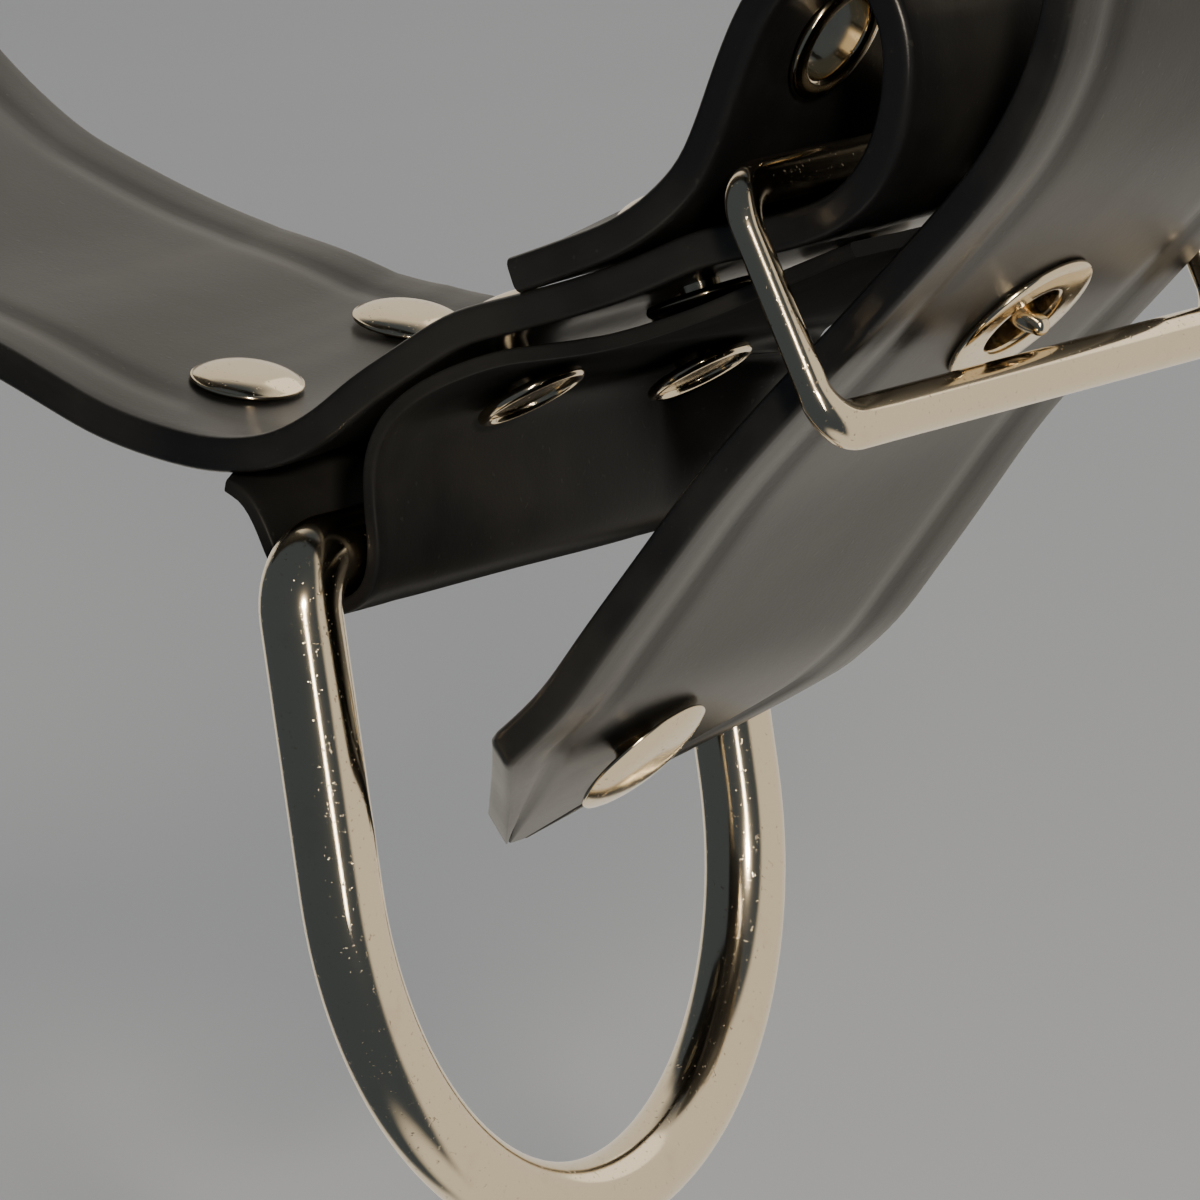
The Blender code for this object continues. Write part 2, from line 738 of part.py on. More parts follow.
def build_buckle(group, parent, steel):
    """Makes the buckle's frame and its prong."""
    points, radii = frame_points()
    link(tube("buckle_frame", points, radii, True, 3), group, parent, steel)
    rows = [("prong", x, z) for x, z, share in PRONG_ROWS]
    path = smooth_path(rows, 1.6)
    shares = [share for x, z, share in PRONG_ROWS]
    places = [index / (len(shares) - 1) for index in range(len(shares))]
    radii = [PRONG_RADIUS * float(np.interp(i / (len(path) - 1), places, shares)) for i in range(len(path))]
    shaft = tube(
        "prong_shaft", [Vector((spot.x, 0.0, spot.y)) for spot in path], radii, False, 3)
    inner = HEEL_RADIUS + GAP
    eye = turned("prong", [
        (inner, EYE_WIDTH / 2), (EYE_OUTER - 0.5, EYE_WIDTH / 2), (EYE_OUTER, EYE_WIDTH / 2 - 0.5),
        (EYE_OUTER, -EYE_WIDTH / 2 + 0.5), (EYE_OUTER - 0.5, -EYE_WIDTH / 2), (inner, -EYE_WIDTH / 2),
        (inner, EYE_WIDTH / 2)], ROUND_STEPS)
    eye.matrix_world = Matrix.Translation(Vector((HEEL_AT[0], 0.0, HEEL_AT[1])) * MM) @ Matrix.Rotation(
        math.pi / 2, 4, "X")
    for item in (eye, shaft):
        bpy.context.scene.collection.objects.link(item)
    union = eye.modifiers.new("shaft", "BOOLEAN")
    union.operation = "UNION"
    union.solver = "EXACT"
    union.object = shaft
    prong = baked(eye, "prong")
    bpy.data.objects.remove(shaft, do_unlink=True)
    link(prong, group, parent, steel)


def shade(group):
    """Shades the round metal pieces smooth, with their real edges sharp."""
    for item in group.objects:
        if item.type == "MESH" and item.name not in ("strap", "ring_keeper"):
            item.data.shade_smooth()
            item.data.set_sharp_from_angle(angle=math.radians(50))


def main():
    """Builds the whole belt."""
    clear_scene()
    belt = new_collection("latex_belt")
    cutters = new_collection("cutters")
    rubber = make_material(*RUBBER)
    steel = make_material(*STEEL)
    hang = bpy.data.objects.new("hang_point", None)
    belt.objects.link(hang)
    hang.location = (-HANG_X * MM, 0.0, -HANG_Z * MM)
    strap_path = smooth_path(STRAP_ROWS, SAMPLE_STEP)
    keeper_path = smooth_path(KEEPER_ROWS, KEEPER_STEP)
    drills = build_rivets(strap_path, belt, hang, steel)
    drills += build_eyelets(strap_path, belt, hang, steel)
    build_strap(strap_path, drills, belt, cutters, hang, rubber)
    build_keeper(keeper_path, drills, belt, cutters, hang, rubber)
    build_ring(belt, hang, steel)
    build_buckle(belt, hang, steel)
    shade(belt)


main()
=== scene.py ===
"""Latex belt: the fine surfaces, finishes, light and view of the riveted strap, its buckle and its D-ring.

The tables are in millimetres in the plane seen from the side. Their zero is the centre of the
D-ring's bar, x runs to the right, z runs up and y runs across the strap, from the near edge to the far one.
"""

import logging
import math
from dataclasses import dataclass
from enum import Enum
from typing import Any, Dict, List, Optional, Sequence, Tuple, Union

import bmesh
import bpy
import numpy as np
from mathutils import Matrix, Vector


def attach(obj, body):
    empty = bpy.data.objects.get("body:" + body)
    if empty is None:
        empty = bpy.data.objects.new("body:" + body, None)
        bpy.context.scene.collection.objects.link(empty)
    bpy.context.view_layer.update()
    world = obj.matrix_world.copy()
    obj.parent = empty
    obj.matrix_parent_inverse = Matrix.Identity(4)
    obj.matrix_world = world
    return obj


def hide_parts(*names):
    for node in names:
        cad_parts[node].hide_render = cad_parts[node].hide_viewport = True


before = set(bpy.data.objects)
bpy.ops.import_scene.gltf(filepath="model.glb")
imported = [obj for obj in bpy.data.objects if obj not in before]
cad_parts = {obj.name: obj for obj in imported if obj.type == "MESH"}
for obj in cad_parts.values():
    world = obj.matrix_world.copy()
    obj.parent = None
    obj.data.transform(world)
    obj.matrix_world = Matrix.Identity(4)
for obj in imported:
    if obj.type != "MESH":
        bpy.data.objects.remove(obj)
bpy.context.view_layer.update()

LOG = logging.getLogger("belt")

MM = 0.001
# Height of the hang point above the bar, and half the strap's width, in millimetres
HANG_Z = 308.6
HALF_WIDTH = 24.0
# How near two points lie, in metres, that are one: on turned pieces, and on punched bands
TURNED_WELD = 0.000001
PUNCHED_WELD = 0.000003

Row = Tuple[float, float]
Triple = Tuple[float, float, float]
Colour = Triple
# Grains to the metre, detail and roughness
Noise = Triple
Field = Union[float, np.ndarray]

# Centre line of the main strap, from the flap's end over the fold and round the loop to the point: x, z
STRAP_ROWS: Tuple[Row, ...] = (
    (19.0, 21.1), (23.6, 22.35), (28.1, 23.65), (31.2, 25.1), (33.8, 26.9), (35.7, 28.7), (37.5, 31.6),
    (39.8, 36.0), (42.2, 39.9), (44.9, 42.8), (48.6, 44.6), (52.9, 42.7), (54.8, 38.0), (53.9, 32.2),
    (51.7, 28.2), (48.4, 25.5), (43.2, 23.9), (36.0, 22.8), (29.5, 20.7), (23.7, 19.2), (17.8, 17.9),
    (13.4, 16.9), (8.7, 14.7), (3.9, 12.3), (-0.1, 9.8), (-4.4, 8.05), (-8.4, 7.6), (-11.4, 7.8),
    (-16.1, 8.85), (-20.8, 10.5), (-25.3, 12.8), (-29.6, 15.0), (-34.9, 17.2), (-42.0, 19.9),
    (-49.0, 23.3), (-56.1, 27.4), (-66.5, 37.5), (-76.5, 56.0), (-82.3, 76.0), (-84.0, 96.0),
    (-84.0, 108.0), (-84.0, 126.0), (-84.0, 138.0), (-81.0, 182.0), (-70.5, 230.0), (-51.0, 272.0),
    (-26.0, 300.5), (0.0, 310.0), (26.0, 300.5), (51.0, 272.0), (71.0, 230.0), (81.5, 182.0),
    (84.5, 138.0), (82.5, 100.0), (77.5, 68.0), (73.6, 52.0), (69.3, 41.8), (67.0, 35.8), (62.7, 29.2),
    (58.6, 25.0), (50.5, 18.2), (45.7, 14.2), (39.3, 8.9), (33.5, 3.8), (28.3, -1.6), (23.1, -7.2),
    (19.0, -11.5), (14.1, -15.0), (5.8, -20.0), (-2.3, -24.9),
)

# Centre line of the band that carries the ring, from its tab round the bar and back under the strap: x, z
KEEPER_ROWS: Tuple[Row, ...] = (
    (-21.5, 8.55), (-16.65, 6.9), (-12.3, 5.85), (-8.9, 5.35), (-7.3, 4.4), (-6.1, 2.3), (-5.0, -0.6),
    (-3.3, -3.05), (0.0, -4.2), (3.1, -2.95), (4.25, 0.0), (4.3, 4.0), (4.7, 7.4), (6.6, 10.5),
    (9.9, 12.7), (14.4, 14.3), (17.9, 15.0), (22.0, 15.3), (27.3, 15.9), (34.0, 17.5), (40.6, 19.6),
    (49.6, 22.5),
)

# How far the far edge stands above the near edge: x, rise
FAR_EDGE_ROWS: Tuple[Row, ...] = (
    (-60.0, 0.0), (-36.0, 0.3), (-25.0, 1.6), (-20.0, 3.0), (-15.5, 3.6), (-8.0, 2.8), (0.0, 1.2), (7.0, 0.0),
)

# How far the keeper's far edge hangs below its near edge: x, drop
KEEPER_DROP_ROWS: Tuple[Row, ...] = (
    (4.5, 0.0), (7.0, 1.6), (10.0, 3.2), (18.0, 3.0), (27.0, 2.2), (40.0, 0.9), (50.0, 0.0),
)

# How far the keeper's far edge is drawn to the right, on the right of the bar: z, shift
KEEPER_DRAW_ROWS: Tuple[Row, ...] = (
    (-3.0, 0.0), (0.0, 1.5), (4.0, 4.6), (7.4, 7.3), (10.5, 7.0), (12.7, 5.0), (14.3, 1.5), (15.0, 0.0),
)

# Heights between which the far edge's rise fades in above the ring and out up the loop
RISE_LOW: Row = (1.0, 6.5)
RISE_HIGH: Row = (60.0, 40.0)

# The unevenness of hand-bent rubber: depth, length along, length across, start
RIPPLE_ROWS: Tuple[Tuple[float, float, float, float], ...] = ((0.07, 7.3, 9.0, 0.0), (0.05, 4.1, -6.0, 1.0))

# Prong, from its eye to its tip: x, z, share of the full radius
PRONG_ROWS: Tuple[Triple, ...] = (
    (43.9, 25.6, 1.0), (44.9, 22.6, 1.0), (46.1, 19.2, 1.0), (47.4, 16.4, 1.0), (48.7, 14.6, 0.9),
    (50.0, 13.7, 0.65),
)


class Body(Enum):
    """The two bodies of the belt that move against each other."""

    BELT = "belt"
    RING = "ring"


class Slot(Enum):
    """The record's material slots."""

    RUBBER = "black_latex"
    METAL = "nickel_plate"


class Socket:
    """One output of a shader node, on which Python's operators add Math nodes."""

    def __init__(self, graph: "Graph", source: bpy.types.NodeSocket) -> None:
        """Wraps an output of a node of the graph."""
        self.graph = graph
        self.source = source

    def _math(self, operation: str, first: "Value", second: "Value") -> "Socket":
        """Adds one Math node."""
        return self.graph.node("ShaderNodeMath", {"operation": operation}, {0: first, 1: second})

    def __add__(self, other: "Value") -> "Socket":
        """Adds a value."""
        return self._math("ADD", self, other)

    def __sub__(self, other: "Value") -> "Socket":
        """Takes a value away."""
        return self._math("SUBTRACT", self, other)

    def __rsub__(self, other: "Value") -> "Socket":
        """Is taken away from a value."""
        return self._math("SUBTRACT", other, self)

    def __mul__(self, other: "Value") -> "Socket":
        """Multiplies by a value."""
        return self._math("MULTIPLY", self, other)

    __radd__ = __add__
    __rmul__ = __mul__


Value = Union[Socket, float, Tuple[float, ...]]
Owner = Union[bpy.types.Material, bpy.types.World]
Key = Union[int, str]


class Graph:
    """The shader nodes of one material, or of the room round the belt."""

    def __init__(self, owner: Owner, shader: str = "Principled BSDF") -> None:
        """Starts from the shader that a new owner holds.

        Args:
            owner: The material or the world.
            shader: Its shader's name.
        """
        owner.use_nodes = True
        self.owner = owner
        self.tree = owner.node_tree
        self.shader = self.tree.nodes[shader]

    def plug(self, target: bpy.types.NodeSocket, value: Value) -> None:
        """Links a socket, or sets its plain value.

        Args:
            target: The input.
            value: What it gets.
        """
        if isinstance(value, Socket):
            self.tree.links.new(value.source, target)
        elif isinstance(value, tuple) and len(value) == 3 and target.type == "RGBA":
            target.default_value = (*value, 1.0)
        else:
            target.default_value = value

    def node(
        self, kind: str, settings: Dict[str, Any], sockets: Dict[Key, Value], output: Key = 0
    ) -> Socket:
        """Adds one node.

        Args:
            kind: The node's type.
            settings: Its own settings, set before its sockets.
            sockets: Values or links by the socket's name or number.
            output: The output that is wanted.

        Returns:
            The wanted output.
        """
        made = self.tree.nodes.new(kind)
        for key, value in settings.items():
            setattr(made, key, value)
        for key, value in sockets.items():
            self.plug(made.inputs[key], value)
        return Socket(self, made.outputs[output])

    def place(self) -> Socket:
        """Gives the place on the piece itself, in metres."""
        return self.node("ShaderNodeTexCoord", {}, {}, "Object")

    def noise(self, place: Socket, scale: float, detail: float, rough: float = 0.5) -> Socket:
        """Adds a noise of so many grains to the metre."""
        return self.node("ShaderNodeTexNoise", {}, {
            "Vector": place, "Scale": scale, "Detail": detail, "Roughness": rough})

    def ease(self, value: Socket, low: float, high: float) -> Socket:
        """Eases a value from 0 at low to 1 at high."""
        return self.node("ShaderNodeMapRange", {"interpolation_type": "SMOOTHSTEP"}, {
            "Value": value, "From Min": low, "From Max": high})

    def blend(self, share: Value, first: Value, second: Value) -> Socket:
        """Mixes two colours."""
        return self.node("ShaderNodeMix", {"data_type": "RGBA"}, {0: share, 6: first, 7: second}, 2)

    def bump(self, height: Socket, depth: float, strength: float) -> Socket:
        """Raises the surface by a height of 0 to 1, with its depth in metres."""
        return self.node("ShaderNodeBump", {}, {"Height": height, "Distance": depth, "Strength": strength})

    def dress(self, **sockets: Value) -> Owner:
        """Sets the shader's sockets, named with underscores for spaces, and gives the owner."""
        for key, value in sockets.items():
            self.plug(self.shader.inputs[key.replace("_", " ")], value)
        return self.owner


@dataclass(frozen=True)
class LatexFinish:
    """The satin face of black rubber sheet, with dust, clouds, a fine grain and a haze at slanting angles."""

    name: str = "latex_face"
    dark: Colour = (0.010, 0.010, 0.011)
    dusty: Colour = (0.030, 0.029, 0.026)
    gloss: float = 0.29
    gloss_spread: float = 0.12
    bend: float = 1.36
    edge_haze: float = 0.0
    haze_turn: Row = (0.65, 0.9)
    cloud_noise: Noise = (55.0, 4.0, 0.55)
    grain_noise: Noise = (2600.0, 2.0, 0.6)
    speck_noise: Noise = (1500.0, 1.0, 0.5)
    wave_noise: Noise = (120.0, 2.0, 0.4)
    depth: float = 0.0005
    relief: float = 0.45

    def make(self) -> bpy.types.Material:
        """Builds the finish.

        Returns:
            The material.
        """
        graph = Graph(bpy.data.materials.new(self.name))
        place = graph.place()
        clouds = graph.noise(place, *self.cloud_noise)
        grain = graph.noise(place, *self.grain_noise)
        specks = graph.ease(graph.noise(place, *self.speck_noise), 0.70, 0.78)
        waves = graph.noise(place, *self.wave_noise)
        dust = graph.ease(clouds, 0.35, 0.75) * 0.8 + specks * 0.6
        colour = graph.blend(dust, self.dark, self.dusty)
        rough = clouds * self.gloss_spread + grain * 0.05 + (self.gloss - self.gloss_spread / 2)
        if self.edge_haze:
            slant = graph.node("ShaderNodeLayerWeight", {}, {"Blend": 0.5}, "Facing")
            rough = rough + graph.ease(slant, *self.haze_turn) * self.edge_haze
        height = waves * 0.30 + grain * 0.04 + specks * 0.02
        return graph.dress(
            Base_Color=colour, Roughness=rough, IOR=self.bend,
            Normal=graph.bump(height, self.depth, self.relief))


@dataclass(frozen=True)
class CutEdgeFinish:
    """The knife-cut side of the rubber: matt, with a fine speckle and drag lines."""

    name: str = "latex_cut_edge"
    dark: Colour = (0.0065, 0.0072, 0.0088)
    pale: Colour = (0.020, 0.023, 0.029)
    gloss: float = 0.78
    bend: float = 1.25
    speck_noise: Noise = (2100.0, 2.0, 0.7)
    broad_noise: Noise = (90.0, 2.0, 0.5)
    drag_scale: Triple = (240.0, 4000.0, 240.0)
    depth: float = 0.00012
    relief: float = 0.8

    def make(self) -> bpy.types.Material:
        """Builds the finish.

        Returns:
            The material.
        """
        graph = Graph(bpy.data.materials.new(self.name))
        place = graph.place()
        specks = graph.ease(graph.noise(place, *self.speck_noise), 0.56, 0.72)
        stretched = graph.node("ShaderNodeMapping", {}, {"Vector": place, "Scale": self.drag_scale})
        drag = graph.noise(stretched, 1.0, 2.0)
        broad = graph.noise(place, *self.broad_noise)
        colour = graph.blend(specks * 0.75 + broad * 0.25, self.dark, self.pale)
        height = specks * 0.6 + drag * 0.4
        return graph.dress(
            Base_Color=colour, Roughness=self.gloss - specks * 0.15, IOR=self.bend,
            Normal=graph.bump(height, self.depth, self.relief))


@dataclass(frozen=True)
class NickelFinish:
    """Bright nickel plate over steel wire, with fine pits and soft handling marks."""

    name: str = "nickel"
    bright: Colour = (0.785, 0.665, 0.475)
    dull: Colour = (0.49, 0.39, 0.26)
    gloss: float = 0.13
    pit_noise: Noise = (2600.0, 2.0, 0.6)
    haze_noise: Noise = (160.0, 4.0, 0.6)
    swell_noise: Noise = (420.0, 1.0, 0.3)
    depth: float = 0.00005
    relief: float = 0.6

    def make(self) -> bpy.types.Material:
        """Builds the finish.

        Returns:
            The material.
        """
        graph = Graph(bpy.data.materials.new(self.name))
        place = graph.place()
        pits = graph.ease(graph.noise(place, *self.pit_noise), 0.64, 0.76)
        haze = graph.noise(place, *self.haze_noise)
        swell = graph.noise(place, *self.swell_noise)
        colour = graph.blend(pits * 0.7 + graph.ease(haze, 0.55, 0.8) * 0.25, self.bright, self.dull)
        rough = haze * 0.08 + pits * 0.16 + (self.gloss - 0.04)
        height = swell * 0.35 - pits * 0.5
        return graph.dress(
            Base_Color=colour, Metallic=1.0, Roughness=rough,
            Normal=graph.bump(height, self.depth, self.relief))


@dataclass(frozen=True)
class FloorFinish:
    """A plain pale studio floor with a barely seen mottle."""

    name: str = "studio_floor"
    light: Colour = (0.735, 0.770, 0.830)
    shade: Colour = (0.710, 0.745, 0.805)

    def make(self) -> bpy.types.Material:
        """Builds the finish.

        Returns:
            The material.
        """
        graph = Graph(bpy.data.materials.new(self.name))
        mottle = graph.noise(graph.place(), 9.0, 3.0)
        return graph.dress(Base_Color=graph.blend(mottle, self.light, self.shade), Roughness=0.9)


@dataclass(frozen=True)
class RoomFinish:
    """The room's own light: warm walls behind and to the right, and a dim blue-black side to the left."""

    warm: Colour = (0.83, 0.775, 0.685)
    dim: Colour = (0.060, 0.076, 0.098)
    dim_side: Triple = (-0.24, -0.97, 0.0)
    turn: Row = (-0.20, -0.02)
    ground: Row = (-0.98, -0.86)
    ceiling: Row = (0.80, 0.98)
    strength: float = 1.0

    def make(self) -> bpy.types.World:
        """Builds the room's light.

        Returns:
            The world.
        """
        graph = Graph(bpy.data.worlds.new("studio_room"), "Background")
        way = graph.node("ShaderNodeTexCoord", {}, {}, "Generated")
        towards = graph.node(
            "ShaderNodeVectorMath", {"operation": "DOT_PRODUCT"}, {0: way, 1: self.dim_side}, "Value")
        height = graph.node("ShaderNodeSeparateXYZ", {}, {"Vector": way}, "Z")
        side = graph.ease(towards, *self.turn) * graph.ease(height, *self.ground)
        dim = side + graph.ease(height, *self.ceiling)
        return graph.dress(Color=graph.blend(dim, self.warm, self.dim), Strength=self.strength)


def ease(value: Field, low: float, high: float) -> Field:
    """Eases values from 0 at low to 1 at high."""
    share = np.clip((value - low) / (high - low), 0.0, 1.0)
    return share * share * (3.0 - 2.0 * share)


def table_at(rows: Sequence[Row], value: Field) -> Field:
    """Looks a value up in a two-column table, between its rows."""
    return np.interp(value, *np.array(rows).T)


def across(y: Field) -> Field:
    """Gives the share of the strap's width at y, from its near edge."""
    return (y + HALF_WIDTH) / (2 * HALF_WIDTH)


def in_plane(spot: Row) -> Vector:
    """Puts a place in the side plane on the middle of the strap."""
    return Vector((spot[0], 0.0, spot[1]))


def lengths(points: np.ndarray) -> np.ndarray:
    """Measures how far along their line points lie."""
    return np.concatenate([[0.0], np.cumsum(np.linalg.norm(np.diff(points, axis=0), axis=1))])


def through(rows: Sequence[Sequence[float]], parts: int) -> np.ndarray:
    """Reads points from a centripetal curve through rows.

    Args:
        rows: The knots, each with two or more numbers.
        parts: How many points each stretch between knots gets.

    Returns:
        One point a line.
    """
    knots = np.array(rows, dtype=float)
    padded = np.vstack([knots[0] * 2 - knots[1], knots, knots[-1] * 2 - knots[-2]])
    points: List[np.ndarray] = []
    for a, b, c, d in zip(padded, padded[1:], padded[2:], padded[3:]):
        t1 = math.sqrt(np.linalg.norm(b - a))
        t2 = t1 + math.sqrt(np.linalg.norm(c - b))
        t3 = t2 + math.sqrt(np.linalg.norm(d - c))
        t = np.linspace(t1, t2, parts, endpoint=False)[:, None]
        ab = a + (b - a) * (t / t1)
        bc = b + (c - b) * ((t - t1) / (t2 - t1))
        cd = c + (d - c) * ((t - t2) / (t3 - t2))
        abc = ab + (bc - ab) * (t / t2)
        bcd = bc + (cd - bc) * ((t - t1) / (t3 - t1))
        points.append(abc + (bcd - abc) * ((t - t1) / (t2 - t1)))
    return np.vstack([*points, knots[-1]])


def evenly(points: np.ndarray, step: float, passes: int) -> np.ndarray:
    """Spaces points evenly along their line and smooths them a little.

    Args:
        points: One point a line.
        step: The wanted spacing.
        passes: How often each point moves towards its neighbours.

    Returns:
        The new points, with the ends kept.
    """
    walked = lengths(points)
    places = np.linspace(0.0, walked[-1], max(3, round(walked[-1] / step)))
    even = np.stack([np.interp(places, walked, column) for column in points.T], axis=1)
    for _ in range(passes):
        even[1:-1] = even[:-2] * 0.25 + even[1:-1] * 0.5 + even[2:] * 0.25
    return even


def arc(centre: Row, radius: float, start: float, end: float, steps: int) -> List[Row]:
    """Lists points on an arc, with its angles in degrees from the first axis."""
    return [
        (centre[0] + radius * math.cos(angle), centre[1] + radius * math.sin(angle))
        for angle in (math.radians(start + (end - start) * step / steps) for step in range(steps + 1))
    ]


def between(first: Sequence[float], last: Sequence[float], parts: int) -> List[Tuple[float, ...]]:
    """Lists the points that divide the line between two others."""
    return [tuple(a + (b - a) * part / parts for a, b in zip(first, last)) for part in range(1, parts)]


def linked(name: str, data: bpy.types.ID) -> bpy.types.Object:
    """Makes an object and links it to the scene.

    Args:
        name: The object's name.
        data: Its mesh, light or camera.

    Returns:
        The object.
    """
    item = bpy.data.objects.new(name, data)
    bpy.context.scene.collection.objects.link(item)
    return item


def written(work: bmesh.types.BMesh, mesh: bpy.types.Mesh) -> bpy.types.Mesh:
    """Writes finished work into a mesh.

    Args:
        work: The work, which is freed.
        mesh: The mesh.

    Returns:
        The same mesh.
    """
    work.to_mesh(mesh)
    work.free()
    return mesh


class Shell:
    """Builds meshes from rows of points that run round a shape."""

    @staticmethod
    def mesh(
        name: str, rings: np.ndarray, cut_columns: Sequence[int] = (), closed: bool = False,
        capped: bool = True
    ) -> bpy.types.Mesh:
        """Joins rings of points into a closed surface.

        Args:
            name: The mesh's name.
            rings: Points in millimetres, by ring and by place round the ring.
            cut_columns: The places round the ring whose faces take the second material.
            closed: Whether the last ring joins the first.
            capped: Whether open ends get a cap, in the second material where there is one.

        Returns:
            The mesh in metres.
        """
        count, around = rings.shape[:2]
        flat = rings.reshape(-1, 3).copy()
        flat[:, 2] -= HANG_Z
        work = bmesh.new()
        verts = [work.verts.new(spot) for spot in flat * MM]
        for ring in range(count if closed else count - 1):
            for column in range(around):
                corners = ((ring, column), (ring, column + 1), (ring + 1, column + 1), (ring + 1, column))
                face = work.faces.new([verts[r % count * around + c % around] for r, c in corners])
                face.material_index = int(column in cut_columns)
        if capped and not closed:
            for row in (range(around), range((count - 1) * around, count * around)):
                cap = work.faces.new([verts[index] for index in row])
                cap.material_index = int(len(cut_columns) > 0)
        bmesh.ops.recalc_face_normals(work, faces=work.faces)
        return written(work, bpy.data.meshes.new(name))

    @staticmethod
    def wire(
        name: str, path: np.ndarray, radii: Field, plane: Vector, sides: int, closed: bool
    ) -> bpy.types.Mesh:
        """Sweeps a round wire along a path that lies in a plane.

        Args:
            name: The mesh's name.
            path: Points in millimetres.
            radii: The wire's radius, or its radius at each point.
            plane: The direction square to the plane.
            sides: How many sides the round has.
            closed: Whether the wire is an endless ring.

        Returns:
            The mesh in metres.
        """
        first, last = path[-1:], path[:1]
        if not closed:
            first, last = path[:1] * 2 - path[1:2], path[-1:] * 2 - path[-2:-1]
        padded = np.vstack([first, path, last])
        along = padded[2:] - padded[:-2]
        along /= np.linalg.norm(along, axis=1)[:, None]
        up = np.array(plane.normalized())
        out = np.cross(along, up)
        out /= np.linalg.norm(out, axis=1)[:, None]
        angles = np.linspace(0.0, 2 * math.pi, sides, endpoint=False)
        round_wire = np.cos(angles)[:, None] * out[:, None] + np.sin(angles)[:, None] * up
        return Shell.mesh(name, path[:, None] + np.reshape(radii, (-1, 1, 1)) * round_wire, closed=closed)

    @staticmethod
    def turned(name: str, profile: Sequence[Row], steps: int, stand: Matrix) -> bpy.types.Mesh:
        """Turns a profile of radius and height round its axis.

        Args:
            name: The mesh's name.
            profile: Radius and height in millimetres. It ends where it starts, or on the axis.
            steps: How many steps the round has.
            stand: Where the piece stands, in the tables' millimetres.

        Returns:
            The mesh in metres.
        """
        angles = np.linspace(0.0, 2 * math.pi, steps, endpoint=False)
        closed = profile[0] == profile[-1]
        rows = profile[:-1] if closed else profile
        rings = np.array([
            [stand @ Vector((radius * math.cos(angle), radius * math.sin(angle), height)) for angle in angles]
            for radius, height in rows])
        return Shell.welded(Shell.mesh(name, rings, closed=closed, capped=False), TURNED_WELD)

    @staticmethod
    def welded(mesh: bpy.types.Mesh, reach: float) -> bpy.types.Mesh:
        """Joins points that lie together, and turns every face out.

        Args:
            mesh: The mesh.
            reach: How near they lie, in metres.

        Returns:
            The same mesh.
        """
        work = bmesh.new()
        work.from_mesh(mesh)
        bmesh.ops.remove_doubles(work, verts=work.verts, dist=reach)
        bmesh.ops.recalc_face_normals(work, faces=work.faces)
        return written(work, mesh)


def finish_piece(
    name: str,
    mesh: bpy.types.Mesh,
    materials: Sequence[bpy.types.Material],
    body: Body,
    nodes: Sequence[str],
    sharp: float,
) -> bpy.types.Object:
    """Links a finished mesh, dresses it and puts it on its body.

    Args:
        name: The piece's name.
        mesh: Its mesh, in place at rest.
        materials: Its materials, by index.
        body: The body that it rides on.
        nodes: The model's nodes that it stands for.
        sharp: Edges bent by more degrees than this stay sharp.

    Returns:
        The piece.
    """
    piece = linked(name, mesh)
    mesh.materials.clear()
    for material in materials:
        mesh.materials.append(material)
    mesh.shade_smooth()
    mesh.set_sharp_from_angle(angle=math.radians(sharp))
    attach(piece, body.value)
    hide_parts(*nodes)
    LOG.info("%s: %d faces on %s", name, len(mesh.polygons), body.value)
    return piece


